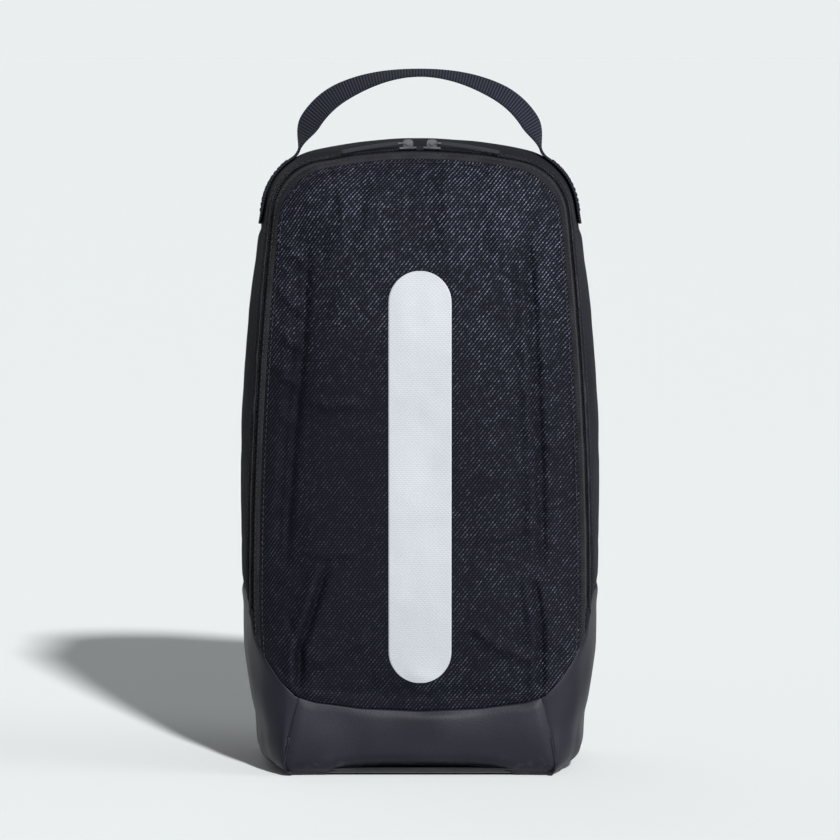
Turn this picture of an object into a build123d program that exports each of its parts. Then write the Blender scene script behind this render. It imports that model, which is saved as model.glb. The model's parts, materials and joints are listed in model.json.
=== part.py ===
"""Golf shoe bag: a tall zipped bag on a wipe-clean boot, with a webbing carry handle.

Millimetres. +X is to the right of someone facing the bag, +Y runs to the back, +Z is up.
The origin is on the ground, at the middle of the bag's footprint.

The bag is two nested families of arch-shaped sections. The hull runs from the flat back to
the plane of the zip, and the dome runs on from the zip to the front. Every fabric layer is
the space between two insets of those families, cut into its pattern pieces along the seams.
"""

from build123d import *
from dataclasses import dataclass
from math import cos, degrees, radians, sin
import os

# Overall form
BACK_Y = 65.5  # flat back of the bag
FRONT_Y = -65.0  # flat middle of the front
ZIP_Y = -42.0  # plane of the zip's chain
REAR_SEAM_Y = 54.0  # seam between the gusset and the back panel
GUSSET_EDGE_Y = -36.0  # front edge of the gusset, where the zip tape begins
STRIP_SEAM_Y = -53.0  # seam between the front panel and its edge strip
STRIP_EDGE_Y = -48.0  # edge of the strip, where the zip tape begins
TOP_ARC = 290.0  # radius of the gentle arch across the top
ZIP_TOP = 369.0  # height of the chain at the middle of the top
FAR = 500.0  # longer than anything in the bag

# Fabric layers, measured inwards from the outer surface
CLOTH = 1.5
LINING = 1.0
LINING_EASE = 0.2  # how far the linings stand off the floor's lining
FOAM = 3.0
FOAM_BACK = CLOTH + FOAM
FOAM_LINED = FOAM_BACK + LINING
CLOTH_LINED = CLOTH + LINING
BINDING = 1.8

# The front panel folds out about a line across the front
FOLD_Z = 96.0
FOLD_GAP = 0.3
SHOULDER_Z = 322.0  # joins between the side gussets and the top gusset

# Boot: the wipe-clean lower part
BOOT_MID_Z = 39.0  # top edge of the boot at the middle of the front
BOOT_CORNER = (72.0, 46.5)  # where the corner seams reach the boot's top edge
BOOT_CHEEK = (91.0, 66.5)
BOOT_EAR = (103.0, 108.0)  # top of the ears on the sides
BOOT_SEAM_FOOT = 82.5  # half distance between the corner seams at the ground
BOARD = 2.0
BOARD_MARGIN = 4.0
FLOOR_LINING = 0.8

# Zip
COIL_HEIGHT = 2.3
END_PATCH = 1.2  # thickness of the patch that closes the zip below
END_PATCH_FOOT = 84.0
COIL_RISE = 0.4  # how far the coil stands out of the tape's line
COIL_INNER = 0.55  # half of the gap between the two rows
COIL_OUTER = 2.2  # far side of each row from the chain's middle
TAPE_DEPTH = (0.4, 1.0)

# Slider, along the chain, across it, and outwards from the chain
SLIDER_LENGTH = 10.0
SLIDER_HALF_WIDTH = 3.3
SLIDER_WAIST = 2.6
SLIDER_PLATE = 1.0
SLIDER_CLEARANCE = 0.55
SLIDER_MIDDLE_ANGLE = 1.38  # degrees along the arch, from the middle to each slider
SLIDER_WEDGE_ALONG = 1.7
WEDGE_HALF = 0.25
PULL_DROOP = 3.0  # degrees that the pulls hang below the line of the chain
BAIL_THICKNESS = 1.6
BAIL_LENGTH = 6.0
BAIL_TOP = 5.4
PIN_RISE = 3.7
PIN_HOLE = 0.95
PIN_RADIUS = 0.85
CHEEK_GAP = 0.25
CHEEK_THICKNESS = 1.1
CHEEK_RADIUS = 1.55
LINK_END = 7.5  # from the pin to the far end of the metal link
TAB_START = 5.6
TAB_LENGTH = 40.0  # from the pin to the tip of the moulded tab
TAB_WIDTH = 7.0
TAB_THICKNESS = 1.9
LINK_THICKNESS = 1.0

# Handle: 25 mm webbing
WEB_WIDTH = 25.0
WEB_THICKNESS = 1.7
HANDLE_HALF_SPAN = 74.0
HANDLE_TOP = 416.0
HANDLE_CROWN = 100.0  # radius of the top of the loop
HANDLE_CORNER = 62.0  # radius of the loop's flanks
HANDLE_LEG = 10.0  # straight stretch under each flank
HANDLE_PIVOT_Z = 381.0
HANDLE_END_X = 72.6  # where the sewn ends begin on the shoulders, clear of the loop
HANDLE_END_Z = 327.0  # lower edge of the sewn ends
HANDLE_TAB_TOP = 373.0  # top of the stub of webbing that stands beside the loop's end

# Film band on the front
BAND_WIDTH = 37.0
BAND_BOTTOM = 56.0
BAND_TOP = 299.0
BAND_FILM = 0.4


@dataclass(frozen=True)
class Arch:
    """One section of the bag: a base line, bowed sides, round shoulders and an arched top."""

    y: float
    half_width: float
    widest_z: float
    base_half: float
    top_z: float
    shoulder: float
    side_radius: float
    bow: float = 1.0
    lean: float = 0.0  # degrees that the surface has turned from sideways to forwards

    def inset(self, depth):
        """The same section, measured on a surface that lies depth further in."""
        inward = depth * cos(radians(self.lean))
        back = depth * sin(radians(self.lean))
        return Arch(
            y=self.y + back,
            half_width=self.half_width - inward,
            widest_z=self.widest_z,
            base_half=self.base_half - inward,
            top_z=self.top_z - inward,
            shoulder=self.shoulder - inward,
            side_radius=self.side_radius,
            bow=self.bow,
            lean=self.lean,
        )


HULL = [
    Arch(BACK_Y, 95.0, 150.0, 84.0, 364.0, 32.0, 1100.0, bow=3.5, lean=-90.0),
    Arch(63.5, 99.8, 155.0, 88.0, 369.0, 35.0, 1100.0, bow=3.8, lean=-60.0),
    Arch(REAR_SEAM_Y, 104.0, 162.0, 90.8, 372.6, 37.0, 1050.0, bow=4.2, lean=-15.0),
    Arch(30.0, 105.8, 168.0, 92.0, 374.6, 38.0, 1000.0, bow=4.5),
    Arch(5.0, 106.2, 170.0, 92.2, 375.0, 38.0, 1000.0, bow=4.5),
    Arch(-18.0, 104.5, 150.0, 91.0, 373.3, 37.0, 1200.0, bow=4.2),
    Arch(GUSSET_EDGE_Y, 101.4, 110.0, 88.3, 369.9, 35.0, 2000.0, bow=3.0),
    Arch(ZIP_Y, 100.0, 100.0, 86.5, ZIP_TOP, 34.0, 2200.0, bow=2.5),
]
DOME = [
    Arch(ZIP_Y, 100.0, 100.0, 86.5, ZIP_TOP, 34.0, 2200.0, bow=2.5),
    Arch(STRIP_SEAM_Y, 95.0, 100.0, 85.0, 364.0, 34.0, 2200.0, bow=1.5, lean=30.0),
    Arch(-61.0, 85.5, 100.0, 83.0, 354.0, 35.0, 2200.0, lean=55.0),
    Arch(-64.2, 79.0, 100.0, 81.5, 346.0, 35.5, 2200.0, lean=75.0),
    Arch(FRONT_Y, 73.0, 100.0, 80.0, 338.0, 36.0, 2200.0, lean=90.0),
]


def arch_face(arch, floor_z):
    """Draws one section on its own plane, closed by a base line at floor_z."""
    top_centre = Vector(0, arch.top_z - TOP_ARC)
    side_centre = Vector(arch.half_width - arch.side_radius, arch.widest_z)
    # The shoulder's circle touches the top's circle and the side's circle from inside.
    reach_top = TOP_ARC - arch.shoulder
    reach_side = arch.side_radius - arch.shoulder
    between = top_centre - side_centre
    apart = between.length
    along = (reach_side**2 - reach_top**2 + apart**2) / (2 * apart)
    across = (reach_side**2 - along**2) ** 0.5
    unit = between / apart
    centre = side_centre + unit * along + Vector(-unit.Y, unit.X) * across
    if centre.X < 0:
        centre = side_centre + unit * along - Vector(-unit.Y, unit.X) * across
    top_touch = top_centre + (centre - top_centre).normalized() * TOP_ARC
    side_touch = side_centre + (centre - side_centre).normalized() * arch.side_radius
    bend = ((top_touch + side_touch) / 2 - centre).normalized() * arch.shoulder
    widest = Vector(arch.half_width, arch.widest_z)
    base = Vector(arch.base_half, floor_z)
    side_middle = (side_touch + widest) / 2 - side_centre
    side_middle = side_centre + side_middle.normalized() * arch.side_radius
    low_middle = (widest + base) / 2 + Vector(arch.bow, 0)
    with BuildSketch(Plane.XZ.offset(-arch.y)) as section:
        with BuildLine():
            Line((-base.X, base.Y), (base.X, base.Y))
            low = ThreePointArc(base, low_middle, widest)
            side = ThreePointArc(widest, side_middle, side_touch)
            corner = ThreePointArc(side_touch, centre + bend, top_touch)
            ThreePointArc(top_touch, (0, arch.top_z), (-top_touch.X, top_touch.Y))
            mirror([low, side, corner], about=Plane.YZ)
        make_face()
    return section.sketch


def nested(sections, depth):
    """The solid inside the surface that lies depth under a family's outer surface."""
    floor_z = CLOTH if depth > 0 else 0.0
    with BuildPart() as solid:
        faces = [arch_face(section.inset(depth), floor_z).face() for section in sections]
        loft(faces)
    return solid.part


def layer(sections, outer, inner):
    """The shell between two depths of a family, open at the plane of the zip."""
    with BuildPart() as shell:
        add(nested(sections, outer))
        add(nested(sections, inner), mode=Mode.SUBTRACT)
    return shell.part


def slab(low, high):
    """A block that spans from one corner to the opposite one."""
    size = [high[i] - low[i] for i in range(3)]
    middle = [(high[i] + low[i]) / 2 for i in range(3)]
    with BuildPart(mode=Mode.PRIVATE) as block:
        with Locations(tuple(middle)):
            Box(*size)
    return block.part


def between_y(low, high, floor=-FAR, roof=FAR):
    """A block across the whole bag between two depths, and between two heights."""
    return slab((-FAR, low, floor), (FAR, high, roof))


def right_side_of(cutter_x, floor, roof):
    """A block to the right of cutter_x, between two heights."""
    return slab((cutter_x, -FAR, floor), (FAR, FAR, roof))


def boot_zone():
    """Everything under the boot's top edge, seen from the front."""
    with BuildPart() as zone:
        with BuildSketch(Plane.XZ):
            with BuildLine():
                ThreePointArc(
                    (-BOOT_CORNER[0], BOOT_CORNER[1]), (0, BOOT_MID_Z), BOOT_CORNER
                )
                ThreePointArc(BOOT_CORNER, BOOT_CHEEK, BOOT_EAR)
                Polyline(BOOT_EAR, (FAR, BOOT_EAR[1]), (FAR, -1), (0, -1))
                mirror(about=Plane.YZ)
            make_face()
        extrude(amount=FAR, both=True)
    return zone.part


def corner_zone():
    """The space between the boot's two corner seams, as far up as the boot goes."""
    slope = (BOOT_SEAM_FOOT - BOOT_CORNER[0]) / BOOT_CORNER[1]
    top = 2 * BOOT_CORNER[1]
    half_top = BOOT_SEAM_FOOT - slope * top
    with BuildPart() as zone:
        with BuildSketch(Plane.XZ):
            Polygon(
                (-BOOT_SEAM_FOOT, 0),
                (BOOT_SEAM_FOOT, 0),
                (half_top, top),
                (-half_top, top),
                align=None,
            )
        extrude(amount=FAR, both=True)
    return zone.part


def save(part, label):
    """Labels a finished piece and writes it under its node's name."""
    part.label = label
    export_step(part, f"parts/{label}.step")


def piece(label, *shells, keep=(), cut=()):
    """One pattern piece: the shells added up, kept inside each keep block, less each cut block."""
    with BuildPart() as pattern:
        for shell in shells:
            add(shell)
        for block in keep:
            add(block, mode=Mode.INTERSECT)
        for block in cut:
            add(block, mode=Mode.SUBTRACT)
    save(pattern.part, label)
    return pattern.part


os.makedirs("parts", exist_ok=True)

hull_cloth = layer(HULL, 0, CLOTH)
hull_foam = layer(HULL, CLOTH, FOAM_BACK)
hull_back_lining = layer(HULL, FOAM_BACK, FOAM_LINED)
hull_lining = layer(HULL, CLOTH, CLOTH_LINED)
dome_cloth = layer(DOME, 0, CLOTH)
dome_foam = layer(DOME, CLOTH, FOAM_BACK)
dome_flap_lining = layer(DOME, FOAM_BACK, FOAM_LINED)
dome_lining = layer(DOME, CLOTH, CLOTH_LINED)
boot = boot_zone()
corners = corner_zone()
lower = between_y(-FAR, FAR, floor=CLOTH, roof=FOLD_Z - FOLD_GAP)
off_floor = between_y(-FAR, FAR, floor=CLOTH)

# Back
behind_seam = between_y(REAR_SEAM_Y, FAR, floor=CLOTH)
piece("back_panel", hull_cloth, keep=[behind_seam], cut=[boot])
inner_floor = CLOTH + BOARD + FLOOR_LINING
back_zone = between_y(REAR_SEAM_Y + 3.0, FAR, floor=inner_floor + 1.0)
piece("back_foam", hull_foam, keep=[back_zone])
piece("back_lining", hull_back_lining, keep=[back_zone])

# Gusset: two sides and the top, from the zip tape to the rear seam
side_zone = right_side_of(40.0, CLOTH, SHOULDER_Z)
gusset_zone = between_y(GUSSET_EDGE_Y, REAR_SEAM_Y, floor=CLOTH)
gusset_right = piece("gusset_right", hull_cloth, keep=[gusset_zone, side_zone], cut=[boot])
save(mirror(gusset_right, about=Plane.YZ), "gusset_left")
over_shoulders = between_y(GUSSET_EDGE_Y, REAR_SEAM_Y, floor=SHOULDER_Z)
piece("gusset_top", hull_cloth, keep=[over_shoulders])
lining_zone = between_y(GUSSET_EDGE_Y, REAR_SEAM_Y + 2.5, floor=inner_floor + LINING_EASE)
piece("gusset_lining", hull_lining, keep=[lining_zone])
binding_zone = between_y(REAR_SEAM_Y - 3.5, REAR_SEAM_Y + 2.4, floor=inner_floor + LINING_EASE)
piece(
    "rear_seam_binding",
    layer(HULL, CLOTH_LINED, CLOTH_LINED + BINDING),
    keep=[binding_zone],
)

# The front panel under the fold, and the gusset strips beside the zip's lower ends
front_zone = between_y(-FAR, GUSSET_EDGE_Y, floor=CLOTH, roof=FOLD_Z - FOLD_GAP)
piece("front_panel_lower", dome_cloth, hull_cloth, keep=[front_zone], cut=[boot])
lower_lining_zone = between_y(
    -FAR, GUSSET_EDGE_Y, floor=inner_floor + LINING_EASE, roof=FOLD_Z - FOLD_GAP
)
piece("front_lining_lower", dome_lining, hull_lining, keep=[lower_lining_zone])

# Boot
piece("boot_front", dome_cloth, keep=[lower, boot, corners])
behind = between_y(REAR_SEAM_Y, FAR)
piece("boot_back", hull_cloth, keep=[behind, off_floor, boot, corners])
front_block = between_y(-FAR, ZIP_Y)
right_half = right_side_of(40.0, CLOTH, BOOT_EAR[1] + 1.0)
middle_block = between_y(ZIP_Y, REAR_SEAM_Y)
with BuildPart() as seam_blocks:
    for block in (front_block, behind):
        with BuildPart(mode=Mode.PRIVATE) as seam_block:
            add(corners)
            add(block, mode=Mode.INTERSECT)
        add(seam_block.part)
boot_right = piece(
    "boot_right",
    hull_cloth,
    dome_cloth,
    keep=[right_half, boot],
    cut=[seam_blocks.part],
)
save(mirror(boot_right, about=Plane.YZ), "boot_left")
under = between_y(-FAR, FAR, roof=CLOTH)
piece("bottom_panel", hull_cloth, dome_cloth, keep=[under])

# Base board and the lining over it
board_zone = between_y(-FAR, FAR, floor=CLOTH, roof=CLOTH + BOARD)
board_depth = CLOTH_LINED + BOARD_MARGIN
piece("base_board", nested(HULL, board_depth), nested(DOME, board_depth), keep=[board_zone])
cover_zone = between_y(-FAR, FAR, floor=CLOTH + BOARD, roof=inner_floor)
piece(
    "base_lining",
    nested(HULL, CLOTH_LINED + 1.0),
    nested(DOME, CLOTH_LINED + 1.0),
    keep=[cover_zone],
)

# Front flap: the front panel above the fold
flap_zone = between_y(-FAR, STRIP_SEAM_Y, floor=FOLD_Z + FOLD_GAP)
piece("front_panel", dome_cloth, keep=[flap_zone])
padding_zone = between_y(-FAR, STRIP_SEAM_Y - 1.0, floor=FOLD_Z + 2.0)
piece("front_foam", dome_foam, keep=[padding_zone])
piece("front_lining", dome_flap_lining, keep=[padding_zone])
strip_zone = between_y(STRIP_SEAM_Y, STRIP_EDGE_Y, floor=FOLD_Z + FOLD_GAP)
piece("front_edge_strip", dome_cloth, keep=[strip_zone])
flap_binding_zone = between_y(STRIP_SEAM_Y - 0.8, STRIP_SEAM_Y + 4.2, floor=FOLD_Z + 2.0)
piece(
    "front_seam_binding",
    layer(DOME, CLOTH, CLOTH + BINDING),
    keep=[flap_binding_zone],
)


# Zip: a tape and a row of coil on each side of the chain
def chain_ring(outer, inner, near_y, far_y):
    """A strip that follows the chain above the fold: between two depths, and two planes."""
    chain = HULL[-1]
    with BuildPart() as ring:
        for depth, mode in ((outer, Mode.ADD), (inner, Mode.SUBTRACT)):
            with BuildPart(mode=Mode.PRIVATE) as arch_block:
                extrude(arch_face(chain.inset(depth), 0.0), amount=8.0, both=True)
            add(arch_block.part, mode=mode)
        add(between_y(near_y, far_y, floor=FOLD_Z + FOLD_GAP), mode=Mode.INTERSECT)
    return ring.part


coil_depth = (-COIL_RISE, COIL_HEIGHT - COIL_RISE)
coil_body = chain_ring(*coil_depth, ZIP_Y + COIL_INNER, ZIP_Y + COIL_OUTER)
save(coil_body, "zip_coil_body")
coil_flap = chain_ring(*coil_depth, ZIP_Y - COIL_OUTER, ZIP_Y - COIL_INNER)
save(coil_flap, "zip_coil_flap")
save(chain_ring(*TAPE_DEPTH, ZIP_Y + COIL_OUTER, GUSSET_EDGE_Y), "zip_tape_body")
flap_tape_zone = between_y(STRIP_EDGE_Y, ZIP_Y - COIL_OUTER, floor=FOLD_Z + FOLD_GAP)
piece("zip_tape_flap", layer(DOME, *TAPE_DEPTH), keep=[flap_tape_zone])
end_zone = slab((60.0, ZIP_Y - 5.0, END_PATCH_FOOT), (FAR, ZIP_Y + 5.5, FOLD_Z - FOLD_GAP))
zip_end = piece(
    "zip_end_right",
    layer(HULL, -END_PATCH, 0),
    layer(DOME, -END_PATCH, 0),
    keep=[end_zone],
)
save(mirror(zip_end, about=Plane.YZ), "zip_end_left")

# Sliders run on the arch across the top, so they are drawn about the arch's centre.
ARC_CENTRE_Z = ZIP_TOP - TOP_ARC
CHAIN_OUTSIDE = TOP_ARC + COIL_RISE
CHAIN_INSIDE = CHAIN_OUTSIDE - COIL_HEIGHT
PLATE_FLOOR = CHAIN_OUTSIDE + SLIDER_CLEARANCE
PIN_R = PLATE_FLOOR + PIN_RISE


def sector(inner, outer, start, end, near_y, far_y):
    """A piece of ring about the arch's centre: two radii, two arc lengths along the chain
    from the pin or slider's middle, and two depths."""
    start_angle, end_angle = (90.0 - degrees(s / TOP_ARC) for s in (start, end))
    with BuildPart(mode=Mode.PRIVATE) as ring:
        with BuildSketch(Plane.XZ.offset(-far_y)):
            with BuildLine():
                sweep = start_angle - end_angle
                low = CenterArc((0, ARC_CENTRE_Z), inner, end_angle, sweep)
                high = CenterArc((0, ARC_CENTRE_Z), outer, end_angle, sweep)
                Line(low @ 0, high @ 0)
                Line(low @ 1, high @ 1)
            make_face()
        extrude(amount=far_y - near_y)
    return ring.part


def turned(part, angle):
    """A part turned about the arch's centre by an angle in degrees, to the right of the top."""
    axis = Axis((0, ZIP_Y, ARC_CENTRE_Z), (0, 1, 0))
    return part.rotate(axis, angle)


def drooped(part):
    """A pull turned about its pin, down towards the chain, then moved to the slider."""
    pin = Axis((0, ZIP_Y, ARC_CENTRE_Z + PIN_R), (0, 1, 0))
    return turned(part.rotate(pin, PULL_DROOP), SLIDER_MIDDLE_ANGLE)


def across_pin(radius, near_y, far_y):
    """A round bar along Y at the pin's place."""
    with BuildPart(mode=Mode.PRIVATE) as bar:
        with BuildSketch(Plane.XZ.offset(-far_y)):
            with Locations((0, ARC_CENTRE_Z + PIN_R)):
                Circle(radius)
        extrude(amount=far_y - near_y)
    return bar.part


half = SLIDER_LENGTH / 2
with BuildPart() as slider:
    for inner, outer in (
        (PLATE_FLOOR, PLATE_FLOOR + SLIDER_PLATE),
        (CHAIN_INSIDE - SLIDER_CLEARANCE - SLIDER_PLATE, CHAIN_INSIDE - SLIDER_CLEARANCE),
    ):
        add(sector(inner, outer, -half, half, ZIP_Y - SLIDER_WAIST, ZIP_Y + SLIDER_HALF_WIDTH))
    # Flanges hold the body's row in. They leave a slot for the tape.
    tape_top = TOP_ARC + 0.4
    tape_under = TOP_ARC - TAPE_DEPTH[1] - 0.4
    flange_near = ZIP_Y + COIL_OUTER + 0.35
    flange_far = ZIP_Y + SLIDER_HALF_WIDTH
    add(sector(tape_top, PLATE_FLOOR + 0.2, -half, half, flange_near, flange_far))
    low_flange = CHAIN_INSIDE - SLIDER_CLEARANCE - 0.2
    add(sector(low_flange, tape_under, -half, half, flange_near, flange_far))
    # The wedge at the nose joins the two plates, in the gap between the rows.
    add(
        sector(
            CHAIN_INSIDE - SLIDER_CLEARANCE - 0.2,
            PLATE_FLOOR + 0.2,
            -half,
            -half + SLIDER_WEDGE_ALONG,
            ZIP_Y - WEDGE_HALF,
            ZIP_Y + WEDGE_HALF,
        )
    )
    bail_near, bail_far = ZIP_Y - BAIL_THICKNESS / 2, ZIP_Y + BAIL_THICKNESS / 2
    add(
        sector(
            PLATE_FLOOR + SLIDER_PLATE - 0.2,
            PLATE_FLOOR + BAIL_TOP,
            -BAIL_LENGTH / 2,
            BAIL_LENGTH / 2,
            bail_near,
            bail_far,
        )
    )
    fillet(
        slider.part.edges().filter_by(Axis.Y).sort_by(Axis.Z)[-2:],
        radius=2.0,
    )
    add(across_pin(PIN_HOLE, bail_near - 1, bail_far + 1), mode=Mode.SUBTRACT)
save(turned(slider.part, SLIDER_MIDDLE_ANGLE), "slider_right")
slider_left = mirror(turned(slider.part, SLIDER_MIDDLE_ANGLE), about=Plane.YZ)
save(slider_left, "slider_left")

# Pulls: a metal link on the bail, with a moulded tab on its far end
link_under = PIN_R - LINK_THICKNESS / 2
with BuildPart() as link:
    add(across_pin(PIN_RADIUS, bail_near - CHEEK_GAP - 0.5, bail_far + CHEEK_GAP + 0.5))
    for near, far in (
        (bail_near - CHEEK_GAP - CHEEK_THICKNESS, bail_near - CHEEK_GAP),
        (bail_far + CHEEK_GAP, bail_far + CHEEK_GAP + CHEEK_THICKNESS),
    ):
        add(across_pin(CHEEK_RADIUS, near, far))
        add(sector(link_under, link_under + LINK_THICKNESS, 0, LINK_END, near, far))
    add(
        sector(
            link_under,
            link_under + LINK_THICKNESS,
            BAIL_LENGTH / 2 + 1.6,
            LINK_END,
            bail_near - CHEEK_GAP - CHEEK_THICKNESS,
            bail_far + CHEEK_GAP + CHEEK_THICKNESS,
        )
    )
save(drooped(link.part), "pull_link_right")
save(mirror(drooped(link.part), about=Plane.YZ), "pull_link_left")

tab_under = PIN_R - TAB_THICKNESS / 2
with BuildPart() as tab:
    add(
        sector(
            tab_under,
            tab_under + TAB_THICKNESS,
            TAB_START,
            TAB_LENGTH,
            ZIP_Y - TAB_WIDTH / 2,
            ZIP_Y + TAB_WIDTH / 2,
        )
    )
    tip_edges = tab.part.edges().filter_by(lambda e: abs(e.length - TAB_THICKNESS) < 0.01)
    fillet(tip_edges.sort_by(Axis.X)[-2:], radius=2.4)
    add(link.part, mode=Mode.SUBTRACT)
save(drooped(tab.part), "pull_tab_right")
save(mirror(drooped(tab.part), about=Plane.YZ), "pull_tab_left")


# Handle: a loop of webbing that stands over the top, with its ends sewn to the shoulders
def loop_face(offset):
    """The area inside the loop, seen from the front, inset by offset."""
    half_span = HANDLE_HALF_SPAN - offset
    crown = HANDLE_CROWN - offset
    corner = HANDLE_CORNER - offset
    crown_z = HANDLE_TOP - HANDLE_CROWN
    corner_x = half_span - corner
    corner_z = crown_z + ((crown - corner) ** 2 - corner_x**2) ** 0.5
    reach = Vector(corner_x, corner_z - crown_z).normalized()
    touch = Vector(0, crown_z) + reach * crown
    bend = (reach + Vector(1, 0)).normalized() * corner
    foot_z = corner_z - HANDLE_LEG
    with BuildSketch(Plane.XZ) as area:
        with BuildLine():
            Line((-half_span, foot_z), (half_span, foot_z))
            rise = Line((half_span, foot_z), (half_span, corner_z))
            turn = ThreePointArc(rise @ 1, Vector(corner_x, corner_z) + bend, touch)
            ThreePointArc(touch, (0, HANDLE_TOP - offset), (-touch.X, touch.Y))
            mirror([rise, turn], about=Plane.YZ)
        make_face()
    return area.sketch


with BuildPart() as handle:
    for offset, mode in ((0.0, Mode.ADD), (WEB_THICKNESS, Mode.SUBTRACT)):
        with BuildPart(mode=Mode.PRIVATE) as loop:
            extrude(loop_face(offset), amount=WEB_WIDTH, both=True)
        add(loop.part, mode=mode)
    # The free webbing ends in a round on each pivot, so it turns clear of the sewn ends.
    with BuildPart(mode=Mode.PRIVATE) as side_view:
        with BuildSketch(Plane.YZ):
            with Locations((0, HANDLE_PIVOT_Z + WEB_WIDTH)):
                Rectangle(WEB_WIDTH, 2 * WEB_WIDTH)
            with Locations((0, HANDLE_PIVOT_Z)):
                Circle(WEB_WIDTH / 2)
        extrude(amount=FAR, both=True)
    add(side_view.part, mode=Mode.INTERSECT)
save(handle.part, "handle_webbing")

# Each sewn end lies on the shoulder, with a stub that stands up beside the free webbing.
END_HALF = WEB_WIDTH / 2
with BuildPart() as sewn_end:
    add(layer(HULL, -WEB_THICKNESS, 0))
    patch_zone = slab((HANDLE_END_X, -END_HALF, HANDLE_END_Z), (FAR, END_HALF, HANDLE_TAB_TOP))
    add(patch_zone, mode=Mode.INTERSECT)
    with BuildPart(mode=Mode.PRIVATE) as stub:
        stub_far = HANDLE_END_X + WEB_THICKNESS
        add(slab((HANDLE_END_X, -END_HALF, HANDLE_END_Z), (stub_far, END_HALF, HANDLE_TAB_TOP)))
        add(nested(HULL, 0), mode=Mode.SUBTRACT)
    add(stub.part)
save(sewn_end.part, "handle_end_right")
save(mirror(sewn_end.part, about=Plane.YZ), "handle_end_left")


# Film band, welded to the face of the front panel
def band(floor_z, roof_z, label):
    """The part of the film between two heights. Its ends are rounded."""
    with BuildPart() as film:
        with BuildSketch(Plane.XZ.offset(-FRONT_Y)):
            with Locations((0, (BAND_BOTTOM + BAND_TOP) / 2)):
                SlotOverall(BAND_TOP - BAND_BOTTOM, BAND_WIDTH, rotation=90)
        extrude(amount=BAND_FILM)
        add(between_y(-FAR, FAR, floor=floor_z, roof=roof_z), mode=Mode.INTERSECT)
    save(film.part, label)


band(FOLD_Z + FOLD_GAP, FAR, "front_band")
band(0.0, FOLD_Z - FOLD_GAP, "front_band_lower")
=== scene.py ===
"""Looks of the golf shoe bag: cloth, boot, zip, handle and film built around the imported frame.

Lengths are millimetres in the frame's own axes: +X right, +Y to the back, +Z up. They turn into
metres where a mesh is made. Each sub-assembly is a class that builds its pieces and dresses them.
"""

import json
import logging
import math
from collections.abc import Callable, Sequence
from dataclasses import astuple, dataclass, field
from enum import Enum

import bmesh
import bpy
import numpy as np
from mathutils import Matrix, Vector, noise
from mathutils.bvhtree import BVHTree

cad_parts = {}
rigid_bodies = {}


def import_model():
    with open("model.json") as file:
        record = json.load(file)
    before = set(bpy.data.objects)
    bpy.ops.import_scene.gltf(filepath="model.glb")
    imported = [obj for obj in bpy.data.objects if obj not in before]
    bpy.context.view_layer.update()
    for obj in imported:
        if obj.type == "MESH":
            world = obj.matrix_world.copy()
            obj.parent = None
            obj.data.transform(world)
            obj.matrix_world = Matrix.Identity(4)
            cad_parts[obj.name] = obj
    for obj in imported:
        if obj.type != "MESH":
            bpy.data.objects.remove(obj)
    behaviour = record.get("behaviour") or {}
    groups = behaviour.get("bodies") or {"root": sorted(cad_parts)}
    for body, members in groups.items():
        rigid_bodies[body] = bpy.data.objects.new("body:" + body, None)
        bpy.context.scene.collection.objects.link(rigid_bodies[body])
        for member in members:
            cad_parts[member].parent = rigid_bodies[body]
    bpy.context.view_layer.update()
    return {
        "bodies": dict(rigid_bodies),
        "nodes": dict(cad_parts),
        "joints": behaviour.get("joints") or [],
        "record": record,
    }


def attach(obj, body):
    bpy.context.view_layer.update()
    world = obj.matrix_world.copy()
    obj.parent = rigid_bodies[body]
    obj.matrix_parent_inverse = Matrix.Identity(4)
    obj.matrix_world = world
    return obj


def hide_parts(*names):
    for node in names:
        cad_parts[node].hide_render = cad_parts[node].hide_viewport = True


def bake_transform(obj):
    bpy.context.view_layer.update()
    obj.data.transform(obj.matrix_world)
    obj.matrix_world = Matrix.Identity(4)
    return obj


LOG = logging.getLogger("shoe_bag")
MM = 0.001
BAG_MIDDLE = (0.0, 0.0, 170.0)
SETTLE_FRAMES = 20
SEAM_STEPS = 300
CORNER_STEP = 95
Array = np.ndarray
RGB = tuple[float, float, float]
Floor = Callable[[Array], Array] | float


class Body(str, Enum):
    """The rigid bodies that pieces ride on."""

    BAG = "body"
    FLAP = "front_flap"
    HANDLE = "handle"


class Slot(str, Enum):
    """The record's material slots."""

    FRONT = "front_textile"
    GUSSET = "gusset_fabric"
    BOOT = "boot_coated"
    WEBBING = "webbing"
    TAPE = "zip_tape"
    COIL = "zip_coil"
    METAL = "slider_metal"
    PULL = "pull_rubber"
    FILM = "band_film"
    LINING = "lining"
    FOAM = "foam"
    BOARD = "board"
    BINDING = "binding"


# ---------------------------------------------------------------- shader maths


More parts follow.
